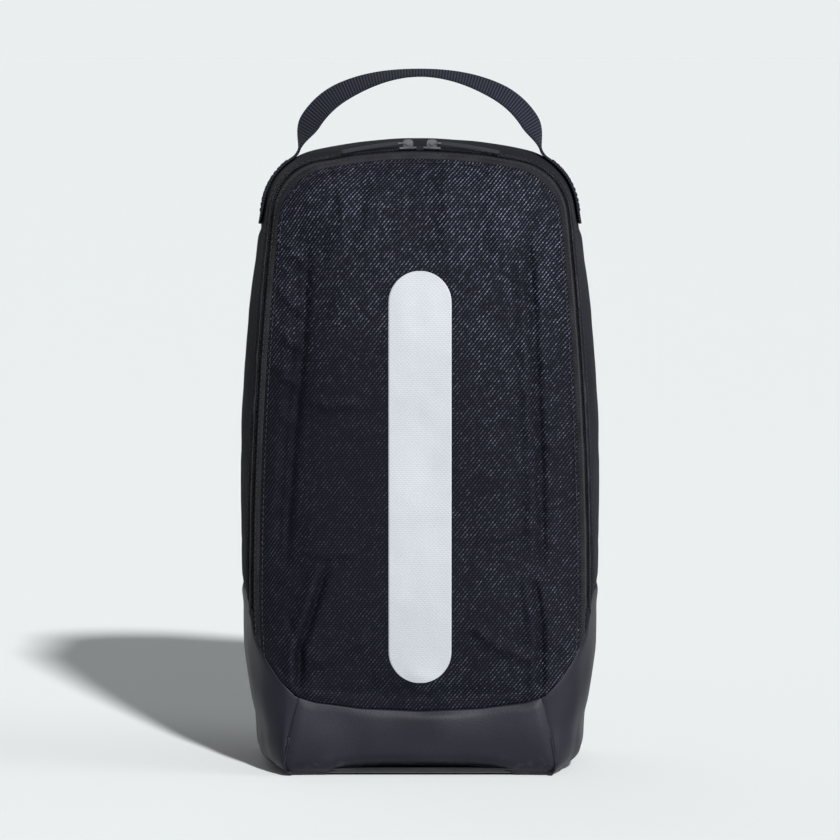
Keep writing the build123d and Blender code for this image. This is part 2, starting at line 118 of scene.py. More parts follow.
@dataclass
class Value:
    """A shader socket that takes part in Python arithmetic through Math nodes."""

    graph: "Graph"
    socket: bpy.types.NodeSocket

    def _math(self, operation: str, *others: "Value | float") -> "Value":
        """Adds a Math node that starts with this value."""
        return self.graph.maths(operation, self, *others)

    def __add__(self, other: "Value | float") -> "Value":
        """This plus other."""
        return self._math("ADD", other)

    __radd__ = __add__

    def __mul__(self, other: "Value | float") -> "Value":
        """This times other."""
        return self._math("MULTIPLY", other)

    __rmul__ = __mul__

    def __sub__(self, other: "Value | float") -> "Value":
        """This minus other."""
        return self._math("SUBTRACT", other)

    def __rsub__(self, other: float) -> "Value":
        """Other minus this."""
        return self.graph.maths("SUBTRACT", other, self)

    def __truediv__(self, other: "Value | float") -> "Value":
        """This divided by other."""
        return self._math("DIVIDE", other)

    def fraction(self) -> "Value":
        """The part after the decimal point, from 0 to 1."""
        return self._math("FRACT")

    def floor(self) -> "Value":
        """The whole number below."""
        return self._math("FLOOR")

    def size(self) -> "Value":
        """The value without its sign."""
        return self._math("ABSOLUTE")

    def wave(self) -> "Value":
        """A sine with a period of 1, from -1 to 1."""
        return (self * math.tau)._math("SINE")

    def between(self, low: float, high: float) -> "Value":
        """A smooth step: 0 under low and 1 over high, or falling if low is the larger."""
        return self.graph.node("ShaderNodeMapRange", {"interpolation_type": "SMOOTHSTEP"},
                               {"Value": self, "From Min": low, "From Max": high})


@dataclass
class Graph:
    """The node tree of one material."""

    material: bpy.types.Material

    @property
    def tree(self) -> bpy.types.NodeTree:
        """The material's node tree."""
        return self.material.node_tree

    def node(self, kind: str, settings: dict | None = None, links: dict | None = None,
             output: str | int = 0) -> Value:
        """Adds any node.

        Args:
            kind: The node's type.
            settings: Properties of the node, set before its sockets.
            links: Socket name or index to a Value, number, colour or vector.
            output: Which output to hand back.

        Returns:
            The chosen output.
        """
        made = self.tree.nodes.new(kind)
        for name, setting in (settings or {}).items():
            setattr(made, name, setting)
        for name, entry in (links or {}).items():
            if isinstance(entry, Value):
                self.tree.links.new(entry.socket, made.inputs[name])
            else:
                made.inputs[name].default_value = entry
        return Value(self, made.outputs[output])

    def maths(self, operation: str, *terms: Value | float) -> Value:
        """A Math node over its terms."""
        return self.node("ShaderNodeMath", {"operation": operation}, dict(enumerate(terms)))

    def mix(self, mask: Value, low: Value | RGB, high: Value | RGB) -> Value:
        """A colour that goes from low to high as mask goes from 0 to 1.

        Args:
            mask: How much of high there is.
            low: The colour at 0.
            high: The colour at 1.

        Returns:
            The mixed colour.
        """
        ends = [c if isinstance(c, Value) else (*c, 1.0) for c in (low, high)]
        links = {0: mask, 6: ends[0], 7: ends[1]}
        return self.node("ShaderNodeMix", {"data_type": "RGBA"}, links, output=2)

    def cloth_place(self) -> tuple[Value, Value]:
        """Distances along and across the cloth in millimetres, as the piece was cut."""
        place = self.node("ShaderNodeAttribute", {"attribute_name": "cloth"}, output="Vector")
        split = self.node("ShaderNodeSeparateXYZ", links={0: place})
        return split, Value(self, split.socket.node.outputs[1])

    def object_place(self, scale: float = 1.0) -> Value:
        """The point on the object, scaled."""
        place = self.node("ShaderNodeTexCoord", output="Object")
        return self.node("ShaderNodeVectorMath", {"operation": "SCALE"}, {0: place, "Scale": scale})

    def cloud(self, period: float, detail: float = 2.0) -> Value:
        """Soft noise over the object, from 0 to 1, with a period in millimetres."""
        links = {"Vector": self.object_place(1 / (period * MM)), "Scale": 1.0, "Detail": detail}
        return self.node("ShaderNodeTexNoise", None, links)

    def luck(self, column: Value, row: Value) -> Value:
        """A random value from 0 to 1 for each pair of whole numbers."""
        place = self.node("ShaderNodeCombineXYZ", links={0: column, 1: row})
        return self.node("ShaderNodeTexWhiteNoise", {"noise_dimensions": "2D"}, {"Vector": place})

    def worn_edges(self) -> Value:
        """1 on sharp outward edges, 0 elsewhere."""
        bumped = self.node("ShaderNodeNewGeometry", output="Pointiness")
        return bumped.between(0.53, 0.62)

    def finish(self, colour: Value, roughness: Value | float, height: Value | None,
               relief: float, constants: dict) -> None:
        """Joins the pieces to the Principled shader.

        Args:
            colour: The base colour.
            roughness: The roughness.
            height: The relief's height from 0 to 1, or None.
            relief: How tall the relief is, in millimetres.
            constants: Values that are the same all over, by socket name.
        """
        shader = self.tree.nodes["Principled BSDF"]
        self.tree.links.new(colour.socket, shader.inputs["Base Color"])
        if isinstance(roughness, Value):
            self.tree.links.new(roughness.socket, shader.inputs["Roughness"])
        else:
            shader.inputs["Roughness"].default_value = roughness
        if height is not None:
            links = {"Strength": 1.0, "Distance": relief * MM, "Height": height}
            bump = self.node("ShaderNodeBump", None, links)
            self.tree.links.new(bump.socket, shader.inputs["Normal"])
        for name, constant in constants.items():
            shader.inputs[name].default_value = constant


def new_graph(name: str) -> Graph:
    """A fresh material with its Principled shader, wrapped.

    Args:
        name: The material's name.

    Returns:
        The wrapped node tree.
    """
    material = bpy.data.materials.new(name)
    material.use_nodes = True
    return Graph(material)


# ---------------------------------------------------------------- finishes


@dataclass(frozen=True)
class FleckedTextile:
    """Woven polyester with short slanted flecks in offset rows. The flecks carry a painted
    highlight that is brighter high on the front and towards its right.
    """

    dark: RGB = (0.0010, 0.0013, 0.0042)
    mid: RGB = (0.0042, 0.0053, 0.0122)
    fleck: RGB = (0.128, 0.139, 0.192)
    cell: float = 2.3
    row: float = 1.45
    slant: float = 0.42

    def make(self) -> bpy.types.Material:
        """Builds the material."""
        g = new_graph("flecked_textile")
        along, across = g.cloth_place()
        row = across / self.row
        rise = row.fraction() - 0.5
        offset = (row.floor() * 0.5).fraction()
        column = along / self.cell + offset - rise * self.slant
        luck = g.luck(column.floor(), row.floor())
        fx = (column.fraction() - 0.5) * 2.0
        fy = rise * 2.0
        reach = (fx * fx) * 7.5 + (fy * fy) * 1.0
        fleck = reach.between(1.25, 0.35)
        fine = (along / 0.42).wave() * 0.5 + (across / 0.42).wave() * 0.5
        patchy = g.cloud(5.0, 3.0).between(0.36, 0.66)
        broad = g.cloud(48.0, 2.0).between(0.34, 0.66)
        ground = g.mix(fleck, self.dark, self.mid)
        # Painted highlight: fleck brightness rises towards the top of the front (across 205 to 330
        # mm) and towards its right (along -45 to 60 mm), standing in for light falling there. The
        # luck term is the flecks' own random tone.
        painted_highlight_gradient = across.between(205.0, 330.0) * 0.58 + along.between(-45.0, 60.0) * 0.26 + 0.15
        fleck_tone_and_painted_highlight = fleck * (patchy * 0.5 + broad * 0.3 + 0.1) * painted_highlight_gradient * (luck * luck * 1.9 + 0.4)
        colour = g.mix(fleck_tone_and_painted_highlight * (0.85 + fine * 0.15), ground, self.fleck)
        rough = 0.78 - fleck * 0.22
        height = fleck * 0.85 + fine * 0.10
        g.finish(colour, rough, height, 0.36, {"Specular IOR Level": 0.13})
        return g.material


@dataclass(frozen=True)
class PlainWeave:
    """Fine plain-woven cloth, used for the gusset, the lining and the binding."""

    name: str
    low: RGB
    high: RGB
    thread: float = 0.55
    relief: float = 0.10
    roughness: float = 0.85
    sheen: float = 0.015

    def make(self) -> bpy.types.Material:
        """Builds the material."""
        g = new_graph(self.name)
        along, across = g.cloth_place()
        checker = (along / (2 * self.thread)).wave() * (across / (2 * self.thread)).wave()
        slub = g.cloud(9.0, 4.0)
        broad = g.cloud(70.0).between(0.25, 0.75)
        mask = checker * 0.22 + slub * 0.5 + broad * 0.3
        colour = g.mix(mask.between(0.05, 0.95), self.low, self.high)
        rough = self.roughness + (slub - 0.5) * 0.15
        g.finish(colour, rough, checker * 0.5 + slub * 0.6, self.relief,
                 {"Sheen Weight": self.sheen, "Sheen Roughness": 0.5, "Specular IOR Level": 0.11})
        return g.material


@dataclass(frozen=True)
class CoatedCloth:
    """Wipe-clean coated cloth with a fine grain and a satin face, scuffed near the ground."""

    low: RGB = (0.0050, 0.0049, 0.0098)
    high: RGB = (0.0082, 0.0081, 0.0150)
    scuff: RGB = (0.034, 0.034, 0.042)

    def make(self) -> bpy.types.Material:
        """Builds the material."""
        g = new_graph("coated_cloth")
        grain = g.cloud(0.9, 3.0)
        broad = g.cloud(45.0, 3.0).between(0.3, 0.7)
        place = g.object_place(1000.0)
        links = {"Vector": place, "Scale": 0.9, "Randomness": 1.0}
        pebble = g.node("ShaderNodeTexVoronoi", {"feature": "F1"}, links)
        split = g.node("ShaderNodeSeparateXYZ", links={0: place})
        height_mm = Value(g, split.socket.node.outputs[2])
        scuffed = height_mm.between(14.0, 0.0) * g.cloud(5.0, 4.0).between(0.52, 0.70)
        base = g.mix(broad, self.low, self.high)
        colour = g.mix(scuffed * 0.7 + g.worn_edges() * 0.3, base, self.scuff)
        rough = 0.44 + grain * 0.14 + scuffed * 0.15
        g.finish(colour, rough, pebble * 0.5 + grain * 0.5, 0.07,
                 {"Specular IOR Level": 0.21})
        return g.material


@dataclass(frozen=True)
class RibbedWebbing:
    """Polyester webbing: rounded cross ribs with fine threads over them, and a selvedge. Its colour
    is painted dark in the grooves between ribs, as painted shade.
    """

    # low is painted shade for the grooves between ribs; high is the colour of the rib tops.
    low: RGB = (0.0006, 0.0008, 0.0024)
    high: RGB = (0.0330, 0.0365, 0.0580)
    rib: float = 1.75
    thread: float = 0.5
    half_width: float = 12.5

    def make(self) -> bpy.types.Material:
        """Builds the material."""
        g = new_graph("ribbed_webbing")
        along, across = g.cloth_place()
        ridge = ((along / self.rib).fraction() - 0.5).size().between(0.5, 0.08)
        threads = (across / self.thread).wave() * 0.5 + 0.5
        edge = across.size().between(self.half_width - 1.6, self.half_width - 1.0)
        rib = ridge * (0.86 + threads * 0.14) * (1.0 - edge * 0.4)
        fuzz = g.cloud(1.1, 3.0)
        # Painted shade: the colour runs from near black in the grooves to light on the rib tops, on
        # top of the bump's own relief.
        colour = g.mix(rib * 0.85 + fuzz * 0.2 - 0.08, self.low, self.high)
        g.finish(colour, 0.62 + fuzz * 0.2, rib * 0.85 + fuzz * 0.15, 0.55,
                 {"Specular IOR Level": 0.15})
        return g.material


@dataclass(frozen=True)
class KnitTape:
    """Knitted zip tape with ribs along its length."""

    low: RGB = (0.0030, 0.0034, 0.0075)
    high: RGB = (0.0150, 0.0165, 0.0260)

    def make(self) -> bpy.types.Material:
        """Builds the material."""
        g = new_graph("knit_tape")
        along, across = g.cloth_place()
        wale = (across / 0.75).wave() * 0.5 + 0.5
        course = (along / 0.9 + (across / 1.5)).wave() * 0.5 + 0.5
        loops = wale * 0.55 + course * 0.45
        colour = g.mix(loops, self.low, self.high)
        g.finish(colour, 0.72 + g.cloud(3.0) * 0.1, loops, 0.18,
                 {"Sheen Weight": 0.03, "Specular IOR Level": 0.25})
        return g.material


@dataclass(frozen=True)
class Moulded:
    """Moulded plastic or rubber, or foam and board, with a fine texture and worn edges."""

    name: str
    low: RGB
    high: RGB
    worn: RGB
    roughness: float = 0.4
    grain: float = 0.5
    relief: float = 0.03
    coat: float = 0.0
    gloss: float = 0.4

    def make(self) -> bpy.types.Material:
        """Builds the material."""
        g = new_graph(self.name)
        grain = g.cloud(self.grain, 3.0)
        broad = g.cloud(12.0).between(0.3, 0.7)
        colour = g.mix(g.worn_edges() * 0.5, g.mix(broad, self.low, self.high), self.worn)
        rough = self.roughness + (grain - 0.5) * 0.18
        g.finish(colour, rough, grain, self.relief, {"Coat Weight": self.coat,
                                                     "Coat Roughness": 0.2,
                                                     "Specular IOR Level": self.gloss})
        return g.material


@dataclass(frozen=True)
class GunMetal:
    """Dark plated zinc with faint scratches and bright worn edges."""

    plate: RGB = (0.012, 0.013, 0.017)
    bright: RGB = (0.16, 0.16, 0.17)

    def make(self) -> bpy.types.Material:
        """Builds the material."""
        g = new_graph("gun_metal")
        smudge = g.cloud(2.2, 4.0)
        scratch = g.cloud(0.35, 2.0).between(0.60, 0.70)
        colour = g.mix(g.worn_edges() * 0.8 + scratch * 0.08, self.plate, self.bright)
        g.finish(colour, 0.30 + smudge * 0.2, smudge * 0.5 + scratch * 0.5, 0.015,
                 {"Metallic": 1.0})
        return g.material


@dataclass(frozen=True)
class BondedFilm:
    """Off-white film bonded over the weave, which shows faintly through it."""

    white: RGB = (0.350, 0.364, 0.392)
    shade: RGB = (0.314, 0.328, 0.356)
    cell: float = 2.3

    def make(self) -> bpy.types.Material:
        """Builds the material."""
        g = new_graph("bonded_film")
        along, across = g.cloth_place()
        row = (across / (self.cell * 0.5)).floor()
        fx = ((along / self.cell + (row * 0.5).fraction()).fraction() - 0.5) * 2.0
        fy = ((across / (self.cell * 0.5)).fraction() - 0.5) * 2.0
        weave = ((fx * fx) + (fy * fy)).between(1.1, 0.2)
        broad = g.cloud(40.0, 3.0).between(0.25, 0.75)
        colour = g.mix(broad * 0.75 + weave * 0.25, self.shade, self.white)
        g.finish(colour, 0.46 + g.cloud(6.0) * 0.12, weave, 0.05,
                 {"Coat Weight": 0.08, "Coat Roughness": 0.3})
        return g.material


@dataclass
class Wardrobe:
    """One material for each slot, and the thread."""

    made: dict[Slot, bpy.types.Material] = field(default_factory=dict)
    thread: bpy.types.Material | None = None
    edge: bpy.types.Material | None = None

    def fill(self) -> None:
        """Builds every material."""
        plain = PlainWeave("gusset_weave", (0.0018, 0.0023, 0.0050), (0.0072, 0.0086, 0.0150))
        lining = PlainWeave("lining_weave", (0.010, 0.0105, 0.0135), (0.026, 0.027, 0.032), 0.7,
                            0.12, 0.7)
        binding = PlainWeave("binding_weave", (0.004, 0.0045, 0.007), (0.014, 0.015, 0.020), 0.8,
                             0.2)
        coil = Moulded("coil_nylon", (0.003, 0.0034, 0.006), (0.009, 0.0095, 0.014),
                       (0.03, 0.03, 0.036), 0.36, 0.3)
        pull = Moulded("pull_moulding", (0.0040, 0.0045, 0.0085), (0.0070, 0.0076, 0.0130),
                       (0.022, 0.023, 0.032), 0.46, 0.6, 0.02, 0.0, 0.22)
        foam = Moulded("padding_foam", (0.075, 0.075, 0.078), (0.11, 0.11, 0.115),
                       (0.15, 0.15, 0.15), 0.9, 1.2, 0.3)
        board = Moulded("base_stiffener", (0.030, 0.030, 0.032), (0.05, 0.05, 0.052),
                        (0.09, 0.09, 0.09), 0.6, 0.8, 0.05)
        self.made = {
            Slot.FRONT: FleckedTextile().make(),
            Slot.GUSSET: plain.make(),
            Slot.BOOT: CoatedCloth().make(),
            Slot.WEBBING: RibbedWebbing().make(),
            Slot.TAPE: KnitTape().make(),
            Slot.COIL: coil.make(),
            Slot.METAL: GunMetal().make(),
            Slot.PULL: pull.make(),
            Slot.FILM: BondedFilm().make(),
            Slot.LINING: lining.make(),
            Slot.FOAM: foam.make(),
            Slot.BOARD: board.make(),
            Slot.BINDING: binding.make(),
        }
        thread = Moulded("sewing_thread", (0.005, 0.0055, 0.010), (0.013, 0.014, 0.022),
                         (0.02, 0.02, 0.03), 0.6, 0.4, 0.04)
        self.thread = thread.make()
        self.edge = PlainWeave("edge_weave", (0.0030, 0.0030, 0.0042), (0.0330, 0.0325, 0.0370),
                               0.8, 0.2).make()


# ---------------------------------------------------------------- form of the bag


@dataclass(frozen=True)
class Section:
    """One arch-shaped section of the bag, across the bag at depth y."""

    y: float
    half_width: float
    widest_z: float
    base_half: float
    top_z: float
    shoulder: float
    side_radius: float
    fullness: float


def lengths_along(line: Array) -> Array:
    """How far each point of a line is from its start, along it."""
    return np.pad(np.linalg.norm(np.diff(line, axis=0), axis=1), (1, 0)).cumsum()


def at(place: float, lengths: Array, rows: Array) -> Array:
    """The row that belongs to a place along a line."""
    return np.array([np.interp(place, lengths, rows[:, i]) for i in range(rows.shape[1])])


def spread(points: Array, count: int) -> Array:
    """Points evenly spaced along a line.

    Args:
        points: The line, one point a row.
        count: How many points to give back.

    Returns:
        The new points, ends included.
    """
    place = lengths_along(points)
    wanted = np.linspace(0.0, place[-1], count)
    return np.stack([np.interp(wanted, place, points[:, i]) for i in range(points.shape[1])], 1)


@dataclass
class Form:
    """The bag's outer skin, from the flat back (path 0) over the rim to the flat front (path 1)."""

    top_arc: float = 290.0
    keys: tuple[Section, ...] = (
        Section(65.5, 95.0, 150.0, 84.0, 364.0, 32.0, 1100.0, 2.4),
        Section(63.5, 99.8, 155.0, 88.0, 369.0, 35.0, 1100.0, 2.6),
        Section(54.0, 104.3, 162.0, 90.8, 372.6, 37.0, 1050.0, 2.8),
        Section(30.0, 106.8, 168.0, 92.3, 374.6, 38.0, 1000.0, 3.0),
        Section(5.0, 107.2, 170.0, 92.6, 375.0, 38.0, 1000.0, 3.0),
        Section(-18.0, 105.6, 150.0, 91.2, 373.3, 37.0, 1200.0, 2.8),
        Section(-36.0, 101.8, 110.0, 88.4, 369.9, 35.0, 2000.0, 2.2),
        Section(-42.0, 100.0, 100.0, 86.5, 369.0, 34.0, 2200.0, 1.9),
        Section(-53.0, 95.0, 100.0, 85.0, 364.0, 34.0, 2200.0, 1.6),
        Section(-61.0, 85.5, 100.0, 83.0, 354.0, 35.0, 2200.0, 1.4),
        Section(-64.3, 78.5, 100.0, 81.5, 345.0, 35.5, 2200.0, 1.4),
        Section(-65.0, 71.0, 100.0, 80.0, 336.0, 36.0, 2200.0, 1.4),
    )

    def __post_init__(self) -> None:
        """Lays the keys out along the path."""
        self.rows = np.array([astuple(key) for key in self.keys])
        steps = np.hypot(np.diff(self.rows[:, 0]), np.diff(self.rows[:, 1]))
        self.place = np.concatenate([[0.0], np.cumsum(steps)])

    def section(self, place: float) -> Array:
        """The section at a place, on smooth curves through the keys.

        Args:
            place: How far along the path it is, in millimetres from the back.

        Returns:
            The section's sizes, in the order of its fields.
        """
        i = int(np.clip(np.searchsorted(self.place, place) - 1, 0, len(self.place) - 2))
        low, high = self.place[i], self.place[i + 1]
        t = (place - low) / (high - low)
        slopes = np.gradient(self.rows, self.place, axis=0)
        a, b = self.rows[i], self.rows[i + 1]
        ma, mb = slopes[i] * (high - low), slopes[i + 1] * (high - low)
        t2, t3 = t * t, t * t * t
        return (2 * t3 - 3 * t2 + 1) * a + (t3 - 2 * t2 + t) * ma \
            + (-2 * t3 + 3 * t2) * b + (t3 - t2) * mb

    def place_of(self, y: float) -> float:
        """Where along the path the skin is at depth y."""
        return float(np.interp(-y, -self.rows[:, 0], self.place))

    def half_outline(self, place: float, steps: int = 64) -> Array:
        """The right half of a section, from the top's middle to the ground.

        Args:
            place: The section's place along the path.
            steps: Points in each of its four parts.

        Returns:
            The outline as (x, y, z) rows.
        """
        y, half, widest, base, top, shoulder, side, fullness = self.section(place)
        top_centre = np.array([0.0, top - self.top_arc])
        side_centre = np.array([half - side, widest])
        reach_top, reach_side = self.top_arc - shoulder, side - shoulder
        gap = top_centre - side_centre
        apart = np.linalg.norm(gap)
        along = (reach_side**2 - reach_top**2 + apart**2) / (2 * apart)
        across = math.sqrt(max(reach_side**2 - along**2, 0.0))
        unit = gap / apart
        turn = np.array([-unit[1], unit[0]])
        centre = side_centre + unit * along + turn * across
        if centre[0] < 0:
            centre = side_centre + unit * along - turn * across

        def arc(middle: Array, radius: float, start: float, end: float, count: int) -> Array:
            """Points on an arc about a middle."""
            angles = np.linspace(start, end, count)
            return middle + radius * np.stack([np.cos(angles), np.sin(angles)], 1)

        top_angle = math.atan2(*(centre - top_centre)[::-1])
        side_angle = math.atan2(*(centre - side_centre)[::-1])
        fall = np.linspace(0.0, 1.0, steps)[:, None]
        low = np.hstack([base + (half - base) * (1 - fall**fullness), widest * (1 - fall)])
        points = np.concatenate([
            arc(top_centre, self.top_arc, math.pi / 2, top_angle, steps),
            arc(centre, shoulder, top_angle, side_angle, steps)[1:],
            arc(side_centre, side, side_angle, 0.0, steps)[1:],
            low[1:],
        ])
        return np.stack([points[:, 0], np.full(len(points), y), points[:, 1]], 1)

    def edge(self, place: float, floor: Floor, count: int) -> Array:
        """Points over the skin at a place, from the floor on the left to that on the right.

        Args:
            place: The place along the path.
            floor: Height that the line stops at, which may depend on x.
            count: Points on each half.

        Returns:
            The points, evenly spaced.
        """
        return mirrored(spread(cut_at(self.half_outline(place), floor), count))

    def seam(self, y: float, floor: Floor) -> tuple[Array, Array]:
        """A seam round the skin at depth y, with its outward unit vectors.

        Args:
            y: The seam's depth.
            floor: Height that the seam stops at, which may depend on x.

        Returns:
            The seam's points and their outward vectors.
        """
        grid = np.array([self.edge(self.place_of(y + step), floor, SEAM_STEPS)
                         for step in (0.5, -0.5)])
        return self.edge(self.place_of(y), floor, SEAM_STEPS), normals(grid)[0]

    def cap(self, places: Array, floor: Floor, side_steps: int,
            top_steps: int) -> tuple[Array, Array]:
        """Closes the skin from a rim to a flat face.

        Args:
            places: Places along the path, from the rim to the flat face.
            floor: Height that the cloth stops at, which may depend on x.
            side_steps: Steps up each side.
            top_steps: Steps across the top.

        Returns:
            The rings as (ring, point, 3), and the flat middle as (row, column, 3).
        """
        rings = []
        for place in places:
            half = cut_at(self.half_outline(place), floor)
            top = spread(half[:CORNER_STEP], top_steps // 2 + 1)
            side = spread(half[CORNER_STEP - 1:], side_steps + 1)
            rings.append(mirrored(np.concatenate([top, side[1:]])))
        ring = rings[-1]
        n, m = side_steps, top_steps
        left, top, right = ring[:n + 1], ring[n:n + m + 1], ring[n + m:][::-1]
        u = np.linspace(0, 1, m + 1)[None, :, None]
        v = np.linspace(0, 1, n + 1)[:, None, None]
        low_x = np.linspace(left[0, 0], right[0, 0], m + 1)
        low_z = floor(low_x) if callable(floor) else np.full(m + 1, floor)
        bottom = np.stack([low_x, np.full(m + 1, ring[0, 1]), low_z], 1)
        corners = (1 - u) * (1 - v) * left[0] + u * (1 - v) * right[0] \
            + (1 - u) * v * left[-1] + u * v * right[-1]
        middle = (1 - u) * left[:, None] + u * right[:, None] + (1 - v) * bottom[None] \
            + v * top[None] - corners
        return np.array(rings), middle


def cap_faces(rings: Array, middle: Array) -> list[list[int]]:
    """Quads of a cap that all look out of the front. Those of the back are turned round."""
    around = [face[::-1] for face in grid_faces(*rings.shape[:2])]
    return around + grid_faces(*middle.shape[:2], start=rings.shape[0] * rings.shape[1])


def cap_cloth(rings: Array, middle: Array) -> Array:
    """Where each vertex of a cap was on the flat cloth.

    Args:
        rings: The cap's rings, which are laid out flat round its middle.
        middle: The cap's flat middle.

    Returns:
        One place for each vertex, rings first.
    """
    steps = np.linalg.norm(np.diff(rings[::-1], axis=0), axis=2)
    path = np.pad(steps, ((1, 0), (0, 0))).cumsum(0)[::-1]
    offset = rings[..., [0, 2]] - rings[-1][..., [0, 2]]
    length = np.maximum(np.linalg.norm(offset, axis=2, keepdims=True), 1e-6)
    flat = rings[-1][..., [0, 2]] + offset / length * path[..., None]
    both = np.concatenate([flat.reshape(-1, 2), middle[..., [0, 2]].reshape(-1, 2)])
    return np.pad(both, ((0, 0), (0, 1)))


@dataclass
class BootLine:
    """The boot's top edge, seen from the front: low in the middle, up to ears on the sides."""

    shoulders: tuple[tuple[float, float], ...] = (
        (0.0, 39.0), (36.0, 40.5), (62.0, 44.0), (73.0, 47.5), (83.0, 56.5), (91.0, 68.0),
        (97.0, 81.0), (101.0, 94.0), (103.5, 108.0),
    )

    def height(self, x: Array | float) -> Array:
        """The height of the edge at x."""
        line = np.array(self.shoulders)
        return np.interp(np.abs(x), line[:, 0], line[:, 1])


@dataclass(frozen=True)
class Crease:
    """A soft fold in the cloth along a line in the front's (x, z) plane."""

    line: tuple[tuple[float, float], ...]
    height: float
    width: float
    lip: float = 0.0

    def lift(self, x: Array, z: Array) -> Array:
        """How far the fold moves the cloth outwards.

        Args:
            x: Where each point is across the front.
            z: How high it is.

        Returns:
            One lift for each point.
        """
        points = np.array(self.line)
        best = np.full(x.shape, 1e9)
        side = np.zeros(x.shape)
        fade = np.zeros(x.shape)
        lengths = np.linalg.norm(np.diff(points, axis=0), axis=1)
        total, passed = lengths.sum(), 0.0
        for (x0, z0), (x1, z1), length in zip(points[:-1], points[1:], lengths):
            dx, dz = (x1 - x0) / length, (z1 - z0) / length
            raw = (x - x0) * dx + (z - z0) * dz
            along = np.clip(raw, 0.0, length)
            px, pz = x - x0 - along * dx, z - z0 - along * dz
            distance = np.hypot(px, pz)
            near = distance < best
            best = np.where(near, distance, best)
            side = np.where(near, np.sign(px * dz - pz * dx), side)
            share = (passed + along) / total
            fade = np.where(near, np.clip(4 * share * (1 - share) * 1.8, 0, 1), fade)
            passed += length
        fold = self.height * np.exp(-((best / self.width) ** 2))
        rim = self.lip * np.exp(-(((best - 2.2 * self.width) / (1.4 * self.width)) ** 2))
        return (fold + rim * (0.5 + 0.5 * side)) * fade


def smooth(value: Array, low: float, high: float) -> Array:
    """A smooth step: 0 at low and 1 at high, or falling if low is the larger."""
    share = np.clip((value - low) / (high - low), 0, 1)
    return share * share * (3 - 2 * share)


def wander(points: Array, period: float, height: float, seed: float) -> Array:
    """Smooth unevenness at each point, the same on every run.

    Args:
        points: The points, in any layout that ends in 3.
        period: Its typical width, in millimetres.
        height: Its typical height, in millimetres.
        seed: Sets it apart from other unevenness.

    Returns:
        One lift for each point.
    """
    flat = points.reshape(-1, 3)
    lifts = [noise.noise(Vector(p / period) + Vector((seed, seed, seed))) for p in flat]
    return np.array(lifts).reshape(points.shape[:-1]) * height


def normals(grid: Array) -> Array:
    """Unit normals of a grid of points, away from the middle of the bag.

    Args:
        grid: Points as (row, column, 3).

    Returns:
        One normal for each point.
    """
    across = np.gradient(grid, axis=1)
    along = np.gradient(grid, axis=0)
    cross = np.cross(across, along)
    length = np.linalg.norm(cross, axis=2, keepdims=True)
    way = (cross * (grid - BAG_MIDDLE)).sum()
    return cross / np.maximum(length, 1e-9) * (1.0 if way > 0 else -1.0)


def edge_distance(grid: Array) -> tuple[Array, Array]:
    """How far each point of a grid is from its edges.

    Args:
        grid: Points as (row, column, 3).

    Returns:
        The distance to the nearer end of its column, and to that of its row.
    """
    def one(axis: int) -> Array:
        """The distance along one axis."""
        steps = np.linalg.norm(np.diff(grid, axis=axis), axis=2)
        pad = [(0, 0), (0, 0)]
        pad[axis] = (1, 0)
        place = np.cumsum(np.pad(steps, pad), axis=axis)
        total = np.take(place, [-1], axis=axis)
        return np.minimum(place, total - place)

    return one(0), one(1)


